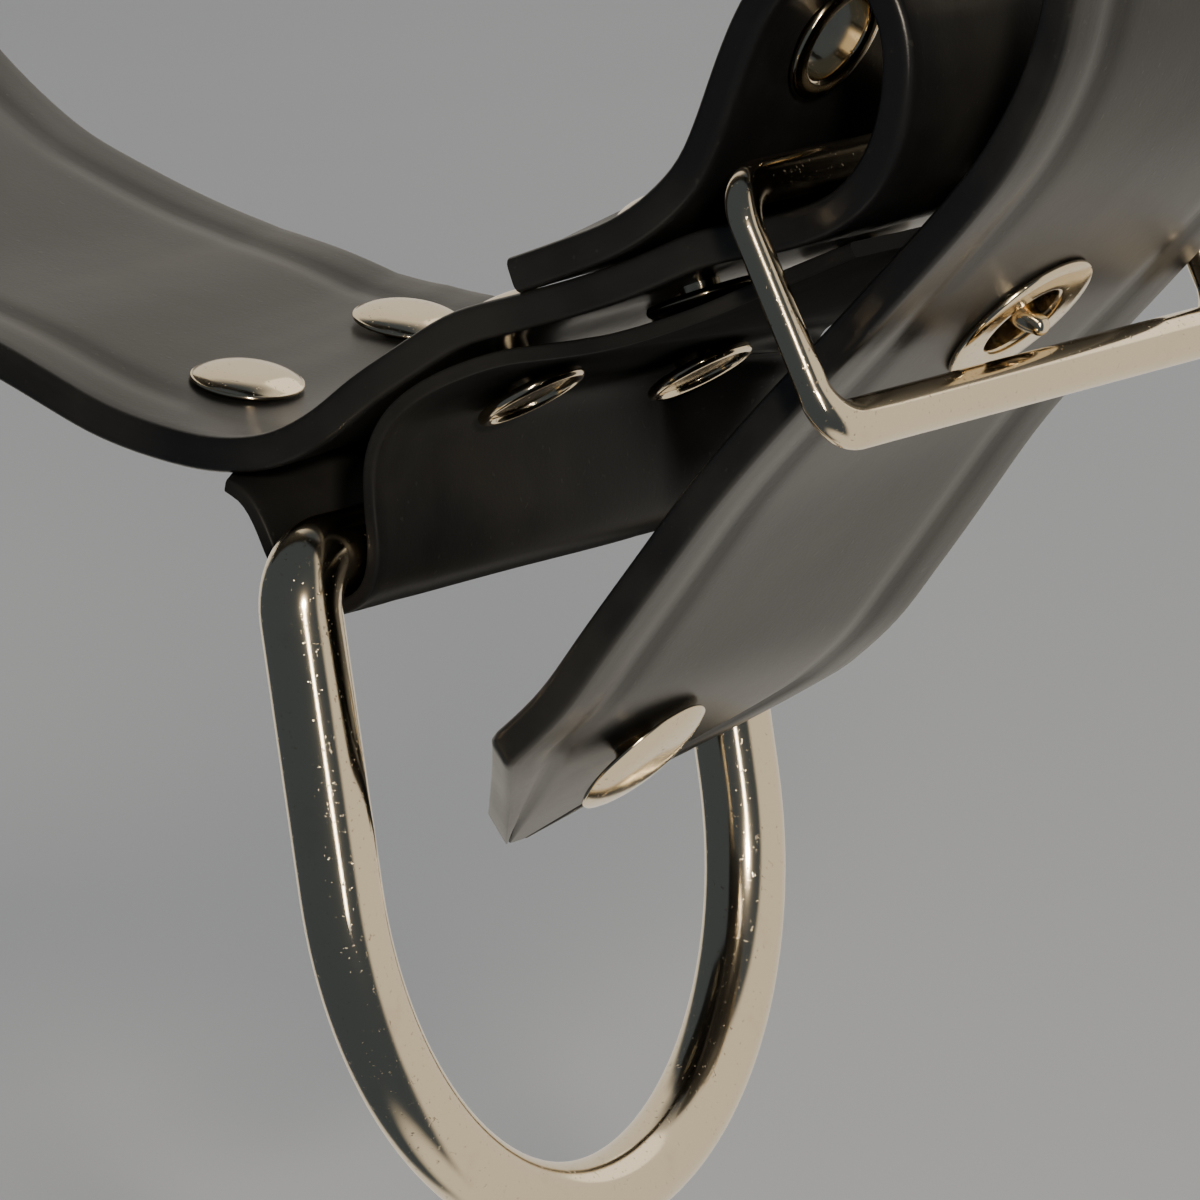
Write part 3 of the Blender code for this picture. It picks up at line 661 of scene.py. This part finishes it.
@dataclass
class Band:
    """A flat band of rubber that follows a line, with rounded edges and a pressed line near each side."""

    name: str
    node: str
    rows: Tuple[Row, ...]
    near: float
    far: float
    thick: float
    step: float = 1.1
    soft: float = 0.75
    columns: int = 44
    line_inset: float = 6.6
    line_width: float = 1.5
    line_depth: float = 0.38
    faint_lines: float = 0.1
    side_turn: Row = (112.5, 180.0)
    side_steps: int = 3
    side_shares: Triple = (0.5, 0.0, -0.5)
    curve_parts: int = 12
    smooth_passes: int = 2

    def __post_init__(self) -> None:
        """Works out the band's line."""
        self.path = evenly(through(self.rows, self.curve_parts), self.step, self.smooth_passes)
        self.walked = lengths(self.path)

    def rise(self, x: Field, y: Field, z: Field) -> Field:
        """Gives the height that the band's twist adds near the ring."""
        return table_at(FAR_EDGE_ROWS, x) * across(y) * ease(z, *RISE_LOW) * ease(z, *RISE_HIGH)

    def extra(self, x: Field, y: Field, z: Field) -> Field:
        """Gives any height that a kind of band adds to its line."""
        return np.zeros_like(x + y + z)

    def drawn(self, x: Field, y: Field, z: Field) -> Field:
        """Gives how far a kind of band is drawn to the right."""
        return np.zeros_like(x + y + z)

    def width_share(self) -> np.ndarray:
        """Gives the share of the full width at each place along the band, round the middle of the belt."""
        return np.ones(len(self.path))

    def thick_share(self) -> np.ndarray:
        """Gives the share of the full thickness at each place along the band."""
        return np.ones(len(self.path))

    def relief_share(self) -> np.ndarray:
        """Gives how strong the pressed line is at each place along the band."""
        return np.full(len(self.path), self.faint_lines)

    def section(self) -> Tuple[np.ndarray, np.ndarray, np.ndarray, List[int]]:
        """Lists the outline of the band's cross-section.

        Returns:
            The place across, the place through the thickness, the relief of the pressed lines, and the
            columns of the cut sides.
        """
        half = self.thick / 2
        wide = np.linspace(self.near + self.soft, self.far - self.soft, self.columns)
        inset = np.minimum(wide - self.near, self.far - wide)
        relief = -self.line_depth * np.exp(-((inset - self.line_inset) / self.line_width) ** 2)
        round_side = arc((self.soft, half - self.soft), self.soft, *self.side_turn, self.side_steps)
        flat_side = [(0.0, share * (half - self.soft)) for share in self.side_shares]
        side = round_side + flat_side + [(y, -s) for y, s in reversed(round_side)]
        places = [(y, half, lift) for y, lift in zip(wide, relief)]
        places += [(self.far - y, s, 0.0) for y, s in side]
        places += [(y, -half, -lift) for y, lift in zip(wide[::-1], relief[::-1])]
        places += [(self.near + y, -s, 0.0) for y, s in side]
        first = self.columns + len(round_side) - 1
        second = first + self.columns + len(side)
        flat_faces = len(flat_side) + 1
        table = np.array(places)
        return table[:, 0], table[:, 1], table[:, 2], [
            *range(first, first + flat_faces), *range(second, second + flat_faces)]

    def rings(self) -> Tuple[np.ndarray, List[int]]:
        """Lays the cross-section along the band's line.

        Returns:
            The points by station and place round the section, and the columns of the cut sides.
        """
        wide, deep, relief, cut_columns = self.section()
        x, z = self.path[:, :1], self.path[:, 1:]
        y = wide * self.width_share()[:, None]
        middle, beside = (
            np.stack([x + self.drawn(x, v, z), v, z + self.rise(x, v, z) + self.extra(x, v, z)], axis=-1)
            for v in (y, y + 0.5))
        normal = np.cross(np.gradient(middle, axis=0), beside - middle)
        normal /= np.linalg.norm(normal, axis=-1)[..., None]
        offset = deep * self.thick_share()[:, None] + relief * self.relief_share()[:, None] + self.ripple(y)
        return middle + normal * offset[..., None], cut_columns

    def ripple(self, y: np.ndarray) -> np.ndarray:
        """Gives the slight unevenness of hand-bent rubber, in millimetres."""
        walked = self.walked[:, None]
        return sum(depth * np.sin(walked / along + y / beside + start)
                   for depth, along, beside, start in RIPPLE_ROWS)

    def spot(self, x: float, z: float, y: float) -> Tuple[Vector, Vector]:
        """Finds a place on the band.

        Args:
            x: The place in the side plane.
            z: Its height.
            y: The place across.

        Returns:
            The place and the direction along the band, towards the right.
        """
        target = np.array((x, z))
        index = int(np.argmin(np.linalg.norm(self.path[1:-1] - target, axis=1))) + 1
        along = self.path[index + 1] - self.path[index - 1]
        along /= np.linalg.norm(along)
        at = self.path[index] + along * float((target - self.path[index]) @ along)
        if along[0] < 0:
            along = -along
        height = at[1] + self.rise(at[0], y, at[1])
        return Vector((at[0], y, height)), Vector((along[0], 0.0, along[1]))

    def stand(
        self, x: float, z: float, y: float, side: int, tilt: float = 0.0, lean: Optional[float] = None
    ) -> Matrix:
        """Gives where a turned fitting stands on the band.

        Args:
            x: The place in the side plane.
            z: Its height.
            y: The place across.
            side: 1 for the upper face, -1 for the lower.
            tilt: How far the fitting is turned up from the band, in degrees.
            lean: Its slope across, or None for the band's own.

        Returns:
            A matrix whose Z leaves the band on that side, in millimetres.
        """
        at, axis_x = self.spot(x, z, y)
        axis_x.rotate(Matrix.Rotation(-math.radians(tilt), 3, "Y"))
        if lean is None:
            lean = self.rise(at.x, HALF_WIDTH, at.z) / (2 * HALF_WIDTH)
        axis_z = axis_x.cross(Vector((0.0, 1.0, lean))).normalized() * side
        axis_x = (axis_x - axis_z * axis_x.dot(axis_z)).normalized()
        turn = Matrix((axis_x, axis_z.cross(axis_x), axis_z)).transposed().to_4x4()
        return Matrix.Translation(at) @ turn

    def punch(self, stand: Matrix, outline: Sequence[Row], depth: float) -> bpy.types.Object:
        """Makes a straight punch with a closed outline, square to the band."""
        rings = np.array([
            [stand @ Vector((px, py, height)) for px, py in outline] for height in (-depth / 2, depth / 2)])
        return linked(f"{self.name}_punch", Shell.mesh("punch", rings, range(len(outline))))

    def punched(self, mesh: bpy.types.Mesh, punches: Sequence[bpy.types.Object]) -> bpy.types.Mesh:
        """Cuts the punches out of the band and takes them away.

        Args:
            mesh: The band's mesh.
            punches: What to cut out.

        Returns:
            The band's mesh with its holes.
        """
        band = linked(f"{self.name}_blank", mesh)
        for item in (band, *punches):
            for _ in range(2):
                item.data.materials.append(None)
        for punch in punches:
            cut = band.modifiers.new(punch.name, "BOOLEAN")
            cut.operation = "DIFFERENCE"
            cut.solver = "EXACT"
            cut.object = punch
        bpy.context.view_layer.update()
        result = bpy.data.meshes.new_from_object(band.evaluated_get(bpy.context.evaluated_depsgraph_get()))
        for item in (band, *punches):
            bpy.data.objects.remove(item, do_unlink=True)
        return Shell.welded(result, PUNCHED_WELD)

    def build(
        self, materials: Sequence[bpy.types.Material], punches: Sequence[bpy.types.Object]
    ) -> bpy.types.Object:
        """Builds the band, cuts the punches out and dresses its faces and its cut sides."""
        mesh = self.punched(Shell.mesh(self.name, *self.rings()), punches)
        return finish_piece(self.name, mesh, materials, Body.BELT, [self.node], sharp=32.0)


@dataclass
class MainStrap(Band):
    """The main strap, with its curled flap end and its pointed tongue."""

    name: str = "strap_band"
    node: str = "strap"
    rows: Tuple[Row, ...] = STRAP_ROWS
    near: float = -HALF_WIDTH
    far: float = HALF_WIDTH
    thick: float = 2.8
    curl_rise: float = 2.4
    curl_reach: float = 3.5
    curl_width: float = 26.0
    tip_reach: float = 19.2
    tip_half: float = 1.5
    faint_lines: float = 0.16
    left_share: float = 0.9
    # The distance from the point, the x and the height between which the lines fade in
    tongue_lines: Row = (230.0, 150.0)
    left_lines: Row = (-8.0, -26.0)
    left_height: Row = (120.0, 60.0)

    def extra(self, x: Field, y: Field, z: Field) -> Field:
        """Gives the height of the flap's curled end."""
        curl = self.curl_rise * ease(self.walked[:, None], self.curl_reach, 0.0)
        return curl * ease(y, -HALF_WIDTH, self.curl_width - HALF_WIDTH)

    def width_share(self) -> np.ndarray:
        """Narrows the tongue to its point."""
        tip = self.tip_half / HALF_WIDTH
        return np.clip(tip + (self.walked[-1] - self.walked) / self.tip_reach * (1 - tip), 0.0, 1.0)

    def relief_share(self) -> np.ndarray:
        """Presses the lines deeper on the tongue and left of the ring than elsewhere.

        Returns:
            The share of the full depth at each place along the strap.
        """
        tongue = ease(self.walked[-1] - self.walked, *self.tongue_lines)
        by_ring = ease(self.path[:, 0], *self.left_lines) * ease(self.path[:, 1], *self.left_height)
        return self.faint_lines + (1.0 - self.faint_lines) * np.maximum(tongue, by_ring * self.left_share)

    def back_from(self, x: float, z: float, distance: float) -> Row:
        """Walks back along the strap.

        Args:
            x: The place in the side plane.
            z: Its height.
            distance: How far to walk.

        Returns:
            The x and z of the new place.
        """
        index = int(np.argmin(np.linalg.norm(self.path - np.array((x, z)), axis=1)))
        goal = self.walked[index] - distance
        return tuple(float(np.interp(goal, self.walked, column)) for column in self.path.T)


@dataclass
class KeeperBand(Band):
    """The thinner band that carries the ring, thinned and narrowed where its tab lies under the strap."""

    name: str = "keeper_band"
    node: str = "ring_keeper"
    rows: Tuple[Row, ...] = KEEPER_ROWS
    near: float = -HALF_WIDTH
    far: float = 22.9
    thick: float = 1.2
    step: float = 0.8
    soft: float = 0.35
    skived: float = 0.45
    tab_inset: float = 5.5
    draw_from: float = 15.1
    draw_right: float = 3.0
    # The x between which the tab narrows, and between which it gets its full thickness
    tab_narrow: Row = (-8.8, -11.2)
    tab_thicken: Row = (-11.0, -8.5)

    def extra(self, x: Field, y: Field, z: Field) -> Field:
        """Lets the far edge hang below the near one."""
        return -table_at(KEEPER_DROP_ROWS, x) * across(y / self.width_share()[:, None])

    def drawn(self, x: Field, y: Field, z: Field) -> Field:
        """Draws the far edge to the right beside the ring's bar."""
        right = ease(x, 0.0, self.draw_right)
        return table_at(KEEPER_DRAW_ROWS, z) * right * ease(y, self.draw_from, self.far)

    def width_share(self) -> np.ndarray:
        """Narrows the tab."""
        return 1 - self.tab_inset / HALF_WIDTH * ease(self.path[:, 0], *self.tab_narrow)

    def thick_share(self) -> np.ndarray:
        """Thins the tab."""
        return self.skived + (1 - self.skived) * ease(self.path[:, 0], *self.tab_thicken)


@dataclass
class DRing:
    """The hanging D-ring of round wire."""

    wire: float = 6.4
    half: float = 27.6
    leg: float = 25.2
    bow: float = 28.8
    corner: float = 4.2
    shift: float = -0.8
    lean_degrees: float = 3.7
    sides: int = 56
    corner_steps: int = 10
    straight_steps: int = 12
    bow_steps: int = 72

    def path(self) -> np.ndarray:
        """Lists the middle of the wire.

        Returns:
            Points in millimetres.
        """
        right = arc((self.half - self.corner, -self.corner), self.corner, 90.0, 0.0, self.corner_steps)
        bow = [
            (self.half * y, -self.leg - self.bow * depth)
            for y, depth in arc((0.0, 0.0), 1.0, 0.0, 180.0, self.bow_steps)]
        left = arc((-self.half + self.corner, -self.corner), self.corner, 180.0, 90.0, self.corner_steps)
        flat: List[Row] = []
        for side, after in ((right, bow), (bow, left), (left, right)):
            flat += side + between(side[-1], after[0], self.straight_steps)
        return np.array([self.turn() @ Vector((0.0, y, z)) + Vector((0.0, self.shift, 0.0)) for y, z in flat])

    def turn(self) -> Matrix:
        """Gives the ring's lean."""
        return Matrix.Rotation(-math.radians(self.lean_degrees), 3, "Y")

    def build(self, nickel: bpy.types.Material) -> bpy.types.Object:
        """Builds and dresses the ring."""
        mesh = Shell.wire(
            "d_ring_wire", self.path(), self.wire / 2, self.turn() @ Vector((1.0, 0.0, 0.0)), self.sides,
            closed=True)
        return finish_piece("d_ring_wire", mesh, [nickel], Body.RING, ["d_ring"], sharp=80.0)


@dataclass
class Buckle:
    """The bent wire frame and the prong that turns on its heel bar."""

    heel: Row = (42.4, 27.8)
    front: Row = (49.2, 9.8)
    heel_bar: float = 1.7
    front_bar: float = 1.95
    rail: float = 1.25
    half: float = 28.4
    corner: float = 3.4
    prong: float = 1.3
    eye_outer: float = 3.3
    eye_width: float = 4.4
    eye_lip: float = 0.5
    gap: float = 0.3
    tip_turns: Tuple[float, ...] = (20.0, 40.0, 60.0, 78.0, 88.0)
    prong_parts: int = 8
    lip_steps: int = 6
    sides: int = 40
    prong_sides: int = 28
    eye_steps: int = 48
    corner_steps: int = 12
    rail_steps: int = 14

    def frame_path(self) -> Tuple[np.ndarray, np.ndarray, Vector]:
        """Lists the frame's wire.

        Returns:
            The places, the radii, and the direction square to the frame.
        """
        heel, front = in_plane(self.heel), in_plane(self.front)
        down = (front - heel).normalized()
        span = (front - heel).length
        flat: List[Tuple[float, float, float]] = []
        corners = (
            (1, 0.0, 1, self.heel_bar), (1, span, -1, self.front_bar),
            (-1, span, -1, self.front_bar), (-1, 0.0, 1, self.heel_bar))
        for order, (side, depth, inward, bar) in enumerate(corners):
            turn = []
            for share in np.linspace(0.0, 1.0, self.corner_steps + 1):
                angle = math.pi / 2 * share
                turn.append((
                    side * (self.half - self.corner + self.corner * math.sin(angle)),
                    depth + inward * self.corner * (1 - math.cos(angle)),
                    bar + (self.rail - bar) * share))
            if order % 2:
                turn.reverse()
            if flat:
                flat += between(flat[-1], turn[0], self.rail_steps)
            flat += turn
        flat += between(flat[-1], flat[0], self.rail_steps)
        places = np.array([heel + down * depth + Vector((0.0, aside, 0.0)) for aside, depth, _ in flat])
        return places, np.array([radius for _, _, radius in flat]), down.cross(Vector((0.0, 1.0, 0.0)))

    def build_frame(self, nickel: bpy.types.Material) -> bpy.types.Object:
        """Builds and dresses the frame."""
        mesh = Shell.wire("buckle_wire", *self.frame_path(), self.sides, True)
        return finish_piece(
            "buckle_wire", mesh, [nickel], Body.BELT, ["buckle_frame"], sharp=80.0)

    def build_prong(self, nickel: bpy.types.Material) -> bpy.types.Object:
        """Builds and dresses the prong: a shaft and the eye that wraps the heel bar.

        Args:
            nickel: Its finish.

        Returns:
            The piece.
        """
        rows = through(PRONG_ROWS, self.prong_parts)
        path = np.stack([rows[:, 0], 0 * rows[:, 0], rows[:, 1]], axis=1)
        radii = rows[:, 2] * self.prong
        ahead = path[-1] - path[-2]
        ahead /= np.linalg.norm(ahead)
        tip, tip_radius = path[-1], radii[-1]
        for angle in self.tip_turns:
            turn = math.radians(angle)
            path = np.vstack([path, tip + ahead * tip_radius * math.sin(turn)])
            radii = np.append(radii, tip_radius * math.cos(turn))
        shaft = Shell.wire("prong_pin", path, radii, Vector((0.0, 1.0, 0.0)), self.prong_sides, False)
        inner = self.heel_bar + self.gap
        half, lip = self.eye_width / 2, self.eye_lip
        profile = [(inner, half)]
        profile += arc((self.eye_outer - lip, half - lip), lip, 90.0, 0.0, self.lip_steps)
        profile += arc((self.eye_outer - lip, lip - half), lip, 0.0, -90.0, self.lip_steps)
        profile += [(inner, -half), (inner, half)]
        stand = Matrix.Translation(in_plane(self.heel)) @ Matrix.Rotation(math.pi / 2, 4, "X")
        eye = Shell.turned("prong_eye", profile, self.eye_steps, stand)
        work = bmesh.new()
        work.from_mesh(shaft)
        work.from_mesh(eye)
        written(work, shaft)
        return finish_piece("prong_pin", shaft, [nickel], Body.BELT, ["prong"], sharp=60.0)


@dataclass
class RivetSet:
    """The domed rivets with rolled backs."""

    cap: float = 4.5
    rise: float = 1.15
    rim: float = 0.35
    dome_power: int = 4
    shank: float = 1.6
    collar: float = 0.5
    back: float = 4.5
    back_thick: float = 0.9
    back_dish: float = 3.1
    back_plate: float = 0.35
    skirt_clear: float = 0.65
    tongue_cap: float = 6.0
    tongue_tilt: float = 8.0
    tongue_lean: float = 0.08
    steps: int = 64
    dome_steps: int = 14
    dish_steps: int = 8
    # Name, x and z on the strap's centre line, y, gap under the cap, depth below the strap, side of the cap
    rows: Tuple[Tuple[str, float, float, float, float, float, int], ...] = (
        ("rivet_left_near", -16.1, 8.85, -10.5, 0.3, 1.35, 1),
        ("rivet_left_far", -16.1, 8.85, 11.8, 0.3, 1.35, 1),
        ("rivet_mid_near", 8.5, 14.6, -10.5, 0.3, 3.1, 1),
        ("rivet_mid_far", 8.5, 14.6, 11.8, 0.3, 4.5, 1),
        ("rivet_fold_near", 25.6, 22.9, -10.5, 0.5, 3.7, 1),
        ("rivet_fold_far", 25.6, 22.9, 11.8, 0.5, 3.7, 1),
        ("rivet_tongue", 11.7, -16.4, -4.0, 1.3, 1.1, -1),
    )

    def profile(self, half: float, gap: float, below: float, cap: float) -> List[Row]:
        """Lists a rivet's outline: domed cap, shank and rolled back.

        Args:
            half: Half the strap's thickness.
            gap: How far the cap stands off the strap.
            below: How far the back lies below the strap.
            cap: The cap's radius.

        Returns:
            Radius and height of each point.
        """
        seat = half + gap
        foot = -(half + below)
        lip = self.rim * 0.5
        outline: List[Row] = []
        for turn in np.linspace(0.0, math.pi / 2, self.dome_steps + 1):
            radius = (cap - lip) * math.sin(turn)
            height = (self.rise - self.rim) * (1 - (radius / (cap - lip)) ** self.dome_power)
            outline.append((radius, seat + self.rim + height))
        outline += arc((cap - lip, seat + lip), lip, 60.0, -80.0, 8)
        skirt = seat - max(gap - self.skirt_clear, 0.0)
        outline += [(self.shank + self.collar, skirt), (self.shank, seat - gap), (self.shank, foot)]
        roll = self.back_thick / 2
        outline += arc((self.back - roll, foot - roll), roll, 85.0, -180.0, 16)
        for share in np.linspace(0.0, 1.0, self.dish_steps + 1):
            radius = self.back_dish * (1 - share)
            outline.append((radius, foot - self.back_plate * (1.3 - 0.3 * math.sin(share * math.pi / 2))))
        return outline

    def build(self, strap: Band, nickel: bpy.types.Material) -> None:
        """Builds and dresses every rivet.

        Args:
            strap: The band that they hold.
            nickel: Their finish.
        """
        for name, x, z, y, gap, below, side in self.rows:
            cap, slant = self.cap, ()
            if side < 0:
                cap, slant = self.tongue_cap, (self.tongue_tilt, self.tongue_lean)
            outline = self.profile(strap.thick / 2, gap, below, cap)
            mesh = Shell.turned(f"{name}_cap", outline, self.steps, strap.stand(x, z, y, side, *slant))
            finish_piece(f"{name}_cap", mesh, [nickel], Body.BELT, [name], sharp=50.0)


@dataclass
class EyeletSet:
    """The row of eyelets up the tongue, and the pair in the fold."""

    flange: float = 6.7
    hole: float = 3.5
    wall: float = 0.4
    plate: float = 0.45
    lip: float = 0.3
    washer_lip: float = 0.2
    washer_inset: float = 1.6
    gap: float = 0.3
    spacing: float = 40.0
    spare: int = 4
    used: Row = (47.2, 15.6)
    fold_at: Row = (41.2, 38.2)
    fold_y: Row = (-13.5, 16.0)
    fold_flange: float = 5.2
    fold_seat: float = 0.75
    punch_depth: float = 5.4
    punch_sides: int = 40
    steps: int = 72

    def profile(self, half: float, flange: float, seat: float) -> List[Row]:
        """Lists an eyelet's closed outline: rolled flange, barrel and washer.

        Args:
            half: Half the strap's thickness.
            flange: The flange's radius.
            seat: How far the flange stands off the strap.

        Returns:
            Radius and height of each point.
        """
        top = half + seat
        low = -half - self.gap
        barrel = self.hole + self.wall
        roll = self.plate
        outline: List[Row] = [(self.hole, top)]
        outline += arc((self.hole + roll, top), roll, 170.0, 95.0, 7)
        outline += [(self.hole + roll + 0.5, top + roll * 0.98), (flange - 1.1, top + roll * 0.9)]
        outline += arc((flange - self.lip, top + 0.1), self.lip, 75.0, -60.0, 7)
        washer = max(flange - self.washer_inset, barrel + 0.7)
        outline += [(barrel, top), (barrel, low), (washer, low)]
        turn = self.washer_lip
        outline += arc((washer - turn, low - turn), turn, 60.0, -60.0, 5)
        outline += arc((self.hole + roll, low - 0.05), roll, 265.0, 185.0, 7)
        outline += [(self.hole, top)]
        return outline

    def stands(self, strap: MainStrap) -> List[Tuple[str, Matrix, float, float]]:
        """Finds where every eyelet stands.

        Args:
            strap: The band that they sit in.

        Returns:
            The node, stand, flange radius and seat of each.
        """
        found = []
        for index in range(self.spare + 1):
            x, z = self.used if index == 0 else strap.back_from(*self.used, self.spacing * index)
            along = strap.spot(x, z, 0.0)[1]
            side = -1 if x > 0 and along.x + along.z > 0 else 1
            found.append((f"tongue_eyelet_{index + 1}", strap.stand(x, z, 0.0, side), self.flange, self.gap))
        for label, y in zip(("near", "far"), self.fold_y):
            found.append((
                f"fold_eyelet_{label}", strap.stand(*self.fold_at, y, -1), self.fold_flange, self.fold_seat))
        return found

    def punches(self, strap: MainStrap) -> List[bpy.types.Object]:
        """Makes the punches for the holes that the eyelets sit in."""
        outline = arc((0.0, 0.0), self.hole + self.wall + self.gap, 0.0, 360.0, self.punch_sides)[:-1]
        return [strap.punch(stand, outline, self.punch_depth) for _, stand, _, _ in self.stands(strap)]

    def build(self, strap: MainStrap, nickel: bpy.types.Material) -> None:
        """Builds and dresses every eyelet.

        Args:
            strap: The band that they sit in.
            nickel: Their finish.
        """
        for node, stand, flange, seat in self.stands(strap):
            mesh = Shell.turned(f"{node}_rim", self.profile(strap.thick / 2, flange, seat), self.steps, stand)
            finish_piece(f"{node}_rim", mesh, [nickel], Body.BELT, [node], sharp=50.0)


@dataclass
class Studio:
    """The pale floor, the soft lights and the camera."""

    floor_z: float = -0.385
    floor_half: float = 9.0
    floor_cells: int = 24
    right: Triple = (0.83, 0.554, -0.086)
    up: Triple = (0.0, 0.154, 0.988)
    aim: Triple = (0.00816, 0.0, -0.31577)
    distance: float = 1.0
    frame_width: float = 0.0923
    lens_aside: float = 0.16
    key_above: float = 0.16
    glint_above: float = -0.10
    light_distance: float = 1.2
    back_panel: Triple = (0.25, 1.5, 0.85)

    def axes(self) -> Tuple[Vector, Vector, Vector]:
        """Works out the view's directions.

        Returns:
            The ways to the right, up, and back towards the lens.
        """
        right = Vector(self.right).normalized()
        back = right.cross(Vector(self.up)).normalized()
        return right, back.cross(right), back

    def by_lens(self, above: float) -> Vector:
        """Finds a light's place beside the lens.

        Args:
            above: How far above the lens it hangs, against its distance.

        Returns:
            The place in metres.
        """
        right, _, back = self.axes()
        way = back + right * self.lens_aside + Vector((0.0, 0.0, above))
        return Vector(self.aim) + way.normalized() * self.light_distance

    def build_floor(self) -> None:
        """Lays the floor."""
        work = bmesh.new()
        bmesh.ops.create_grid(
            work, x_segments=self.floor_cells, y_segments=self.floor_cells, size=self.floor_half)
        floor = linked("studio_floor", written(work, bpy.data.meshes.new("studio_floor")))
        floor.location = (0.0, 0.0, self.floor_z)
        floor.data.materials.append(FloorFinish().make())
        floor.visible_glossy = False

    def light(
        self, name: str, place: Vector, size: float, power: float, colour: Colour, height: float = 0.0
    ) -> None:
        """Hangs one soft light that faces the buckle.

        Args:
            name: The light's name.
            place: Where it hangs, in metres.
            size: How wide it is.
            power: How strong it is, in watts.
            colour: Its colour.
            height: How tall an upright strip is, or 0 for a disk.
        """
        lamp = bpy.data.lights.new(name, "AREA")
        lamp.shape = "RECTANGLE" if height else "DISK"
        lamp.size = size
        if height:
            lamp.size_y = height
        lamp.energy = power
        lamp.color = colour
        turn = (place - Vector(self.aim)).to_track_quat("Z", "Y").to_matrix().to_4x4()
        linked(name, lamp).matrix_world = Matrix.Translation(place) @ turn

    def build_lights(self) -> None:
        """Hangs the lights and sets the room's own light."""
        bpy.context.scene.world = RoomFinish().make()
        key, glint = self.by_lens(self.key_above), self.by_lens(self.glint_above)
        self.light("key", key, size=0.12, power=9.0, colour=(1.0, 0.88, 0.70))
        self.light("low_glint", glint, size=0.08, power=2.6, colour=(1.0, 0.92, 0.80), height=0.42)
        self.light("back_panel", Vector(self.back_panel), size=1.4, power=3.0, colour=(1.0, 0.95, 0.87))

    def build_camera(self) -> None:
        """Sets the camera at the photograph's angle."""
        right, up, back = self.axes()
        lens = bpy.data.cameras.new("camera")
        lens.sensor_width = 36.0
        lens.lens = lens.sensor_width * self.distance / self.frame_width
        lens.clip_start = 0.05
        camera = linked("camera", lens)
        turn = Matrix((right, up, back)).transposed().to_4x4()
        camera.matrix_world = Matrix.Translation(Vector(self.aim) + back * self.distance) @ turn
        bpy.context.scene.camera = camera

    def build(self) -> None:
        """Builds the whole studio."""
        self.build_camera()
        self.build_floor()
        self.build_lights()


@dataclass
class Belt:
    """The whole belt."""

    slot_at: Row = (44.3, 24.2)
    slot_length: float = 12.5
    slot_width: float = 6.0
    slot_depth: float = 6.0
    notch_at: Row = (46.0, 21.3)
    notch_length: float = 13.0
    notch_depth: float = 5.0

    def slot_outline(self, length: float) -> List[Row]:
        """Lists the outline of the long hole for the prong."""
        half, reach = self.slot_width / 2, (length - self.slot_width) / 2
        return arc((reach, 0.0), half, -90.0, 90.0, 12) + arc((-reach, 0.0), half, 90.0, 270.0, 12)

    def build(self) -> None:
        """Builds every piece of the belt."""
        face = LatexFinish().make()
        keeper_face = LatexFinish(name="latex_keeper", gloss=0.38, bend=1.20, edge_haze=0.5).make()
        side = CutEdgeFinish().make()
        nickel = NickelFinish().make()
        strap, keeper, eyelets, buckle = MainStrap(), KeeperBand(), EyeletSet(), Buckle()
        slot = strap.punch(
            strap.stand(*self.slot_at, 0.0, 1), self.slot_outline(self.slot_length), self.slot_depth)
        strap.build([face, side], [*eyelets.punches(strap), slot])
        notch = keeper.punch(
            keeper.stand(*self.notch_at, 0.0, 1), self.slot_outline(self.notch_length), self.notch_depth)
        keeper.build([keeper_face, side], [notch])
        eyelets.build(strap, nickel)
        RivetSet().build(strap, nickel)
        buckle.build_frame(nickel)
        buckle.build_prong(nickel)
        DRing().build(nickel)


def main() -> None:
    """Builds the studio and the belt."""
    logging.basicConfig(level=logging.INFO, format="%(name)s: %(message)s")
    Studio().build()
    Belt().build()
    bpy.context.view_layer.update()


if __name__ == "__main__":
    main()
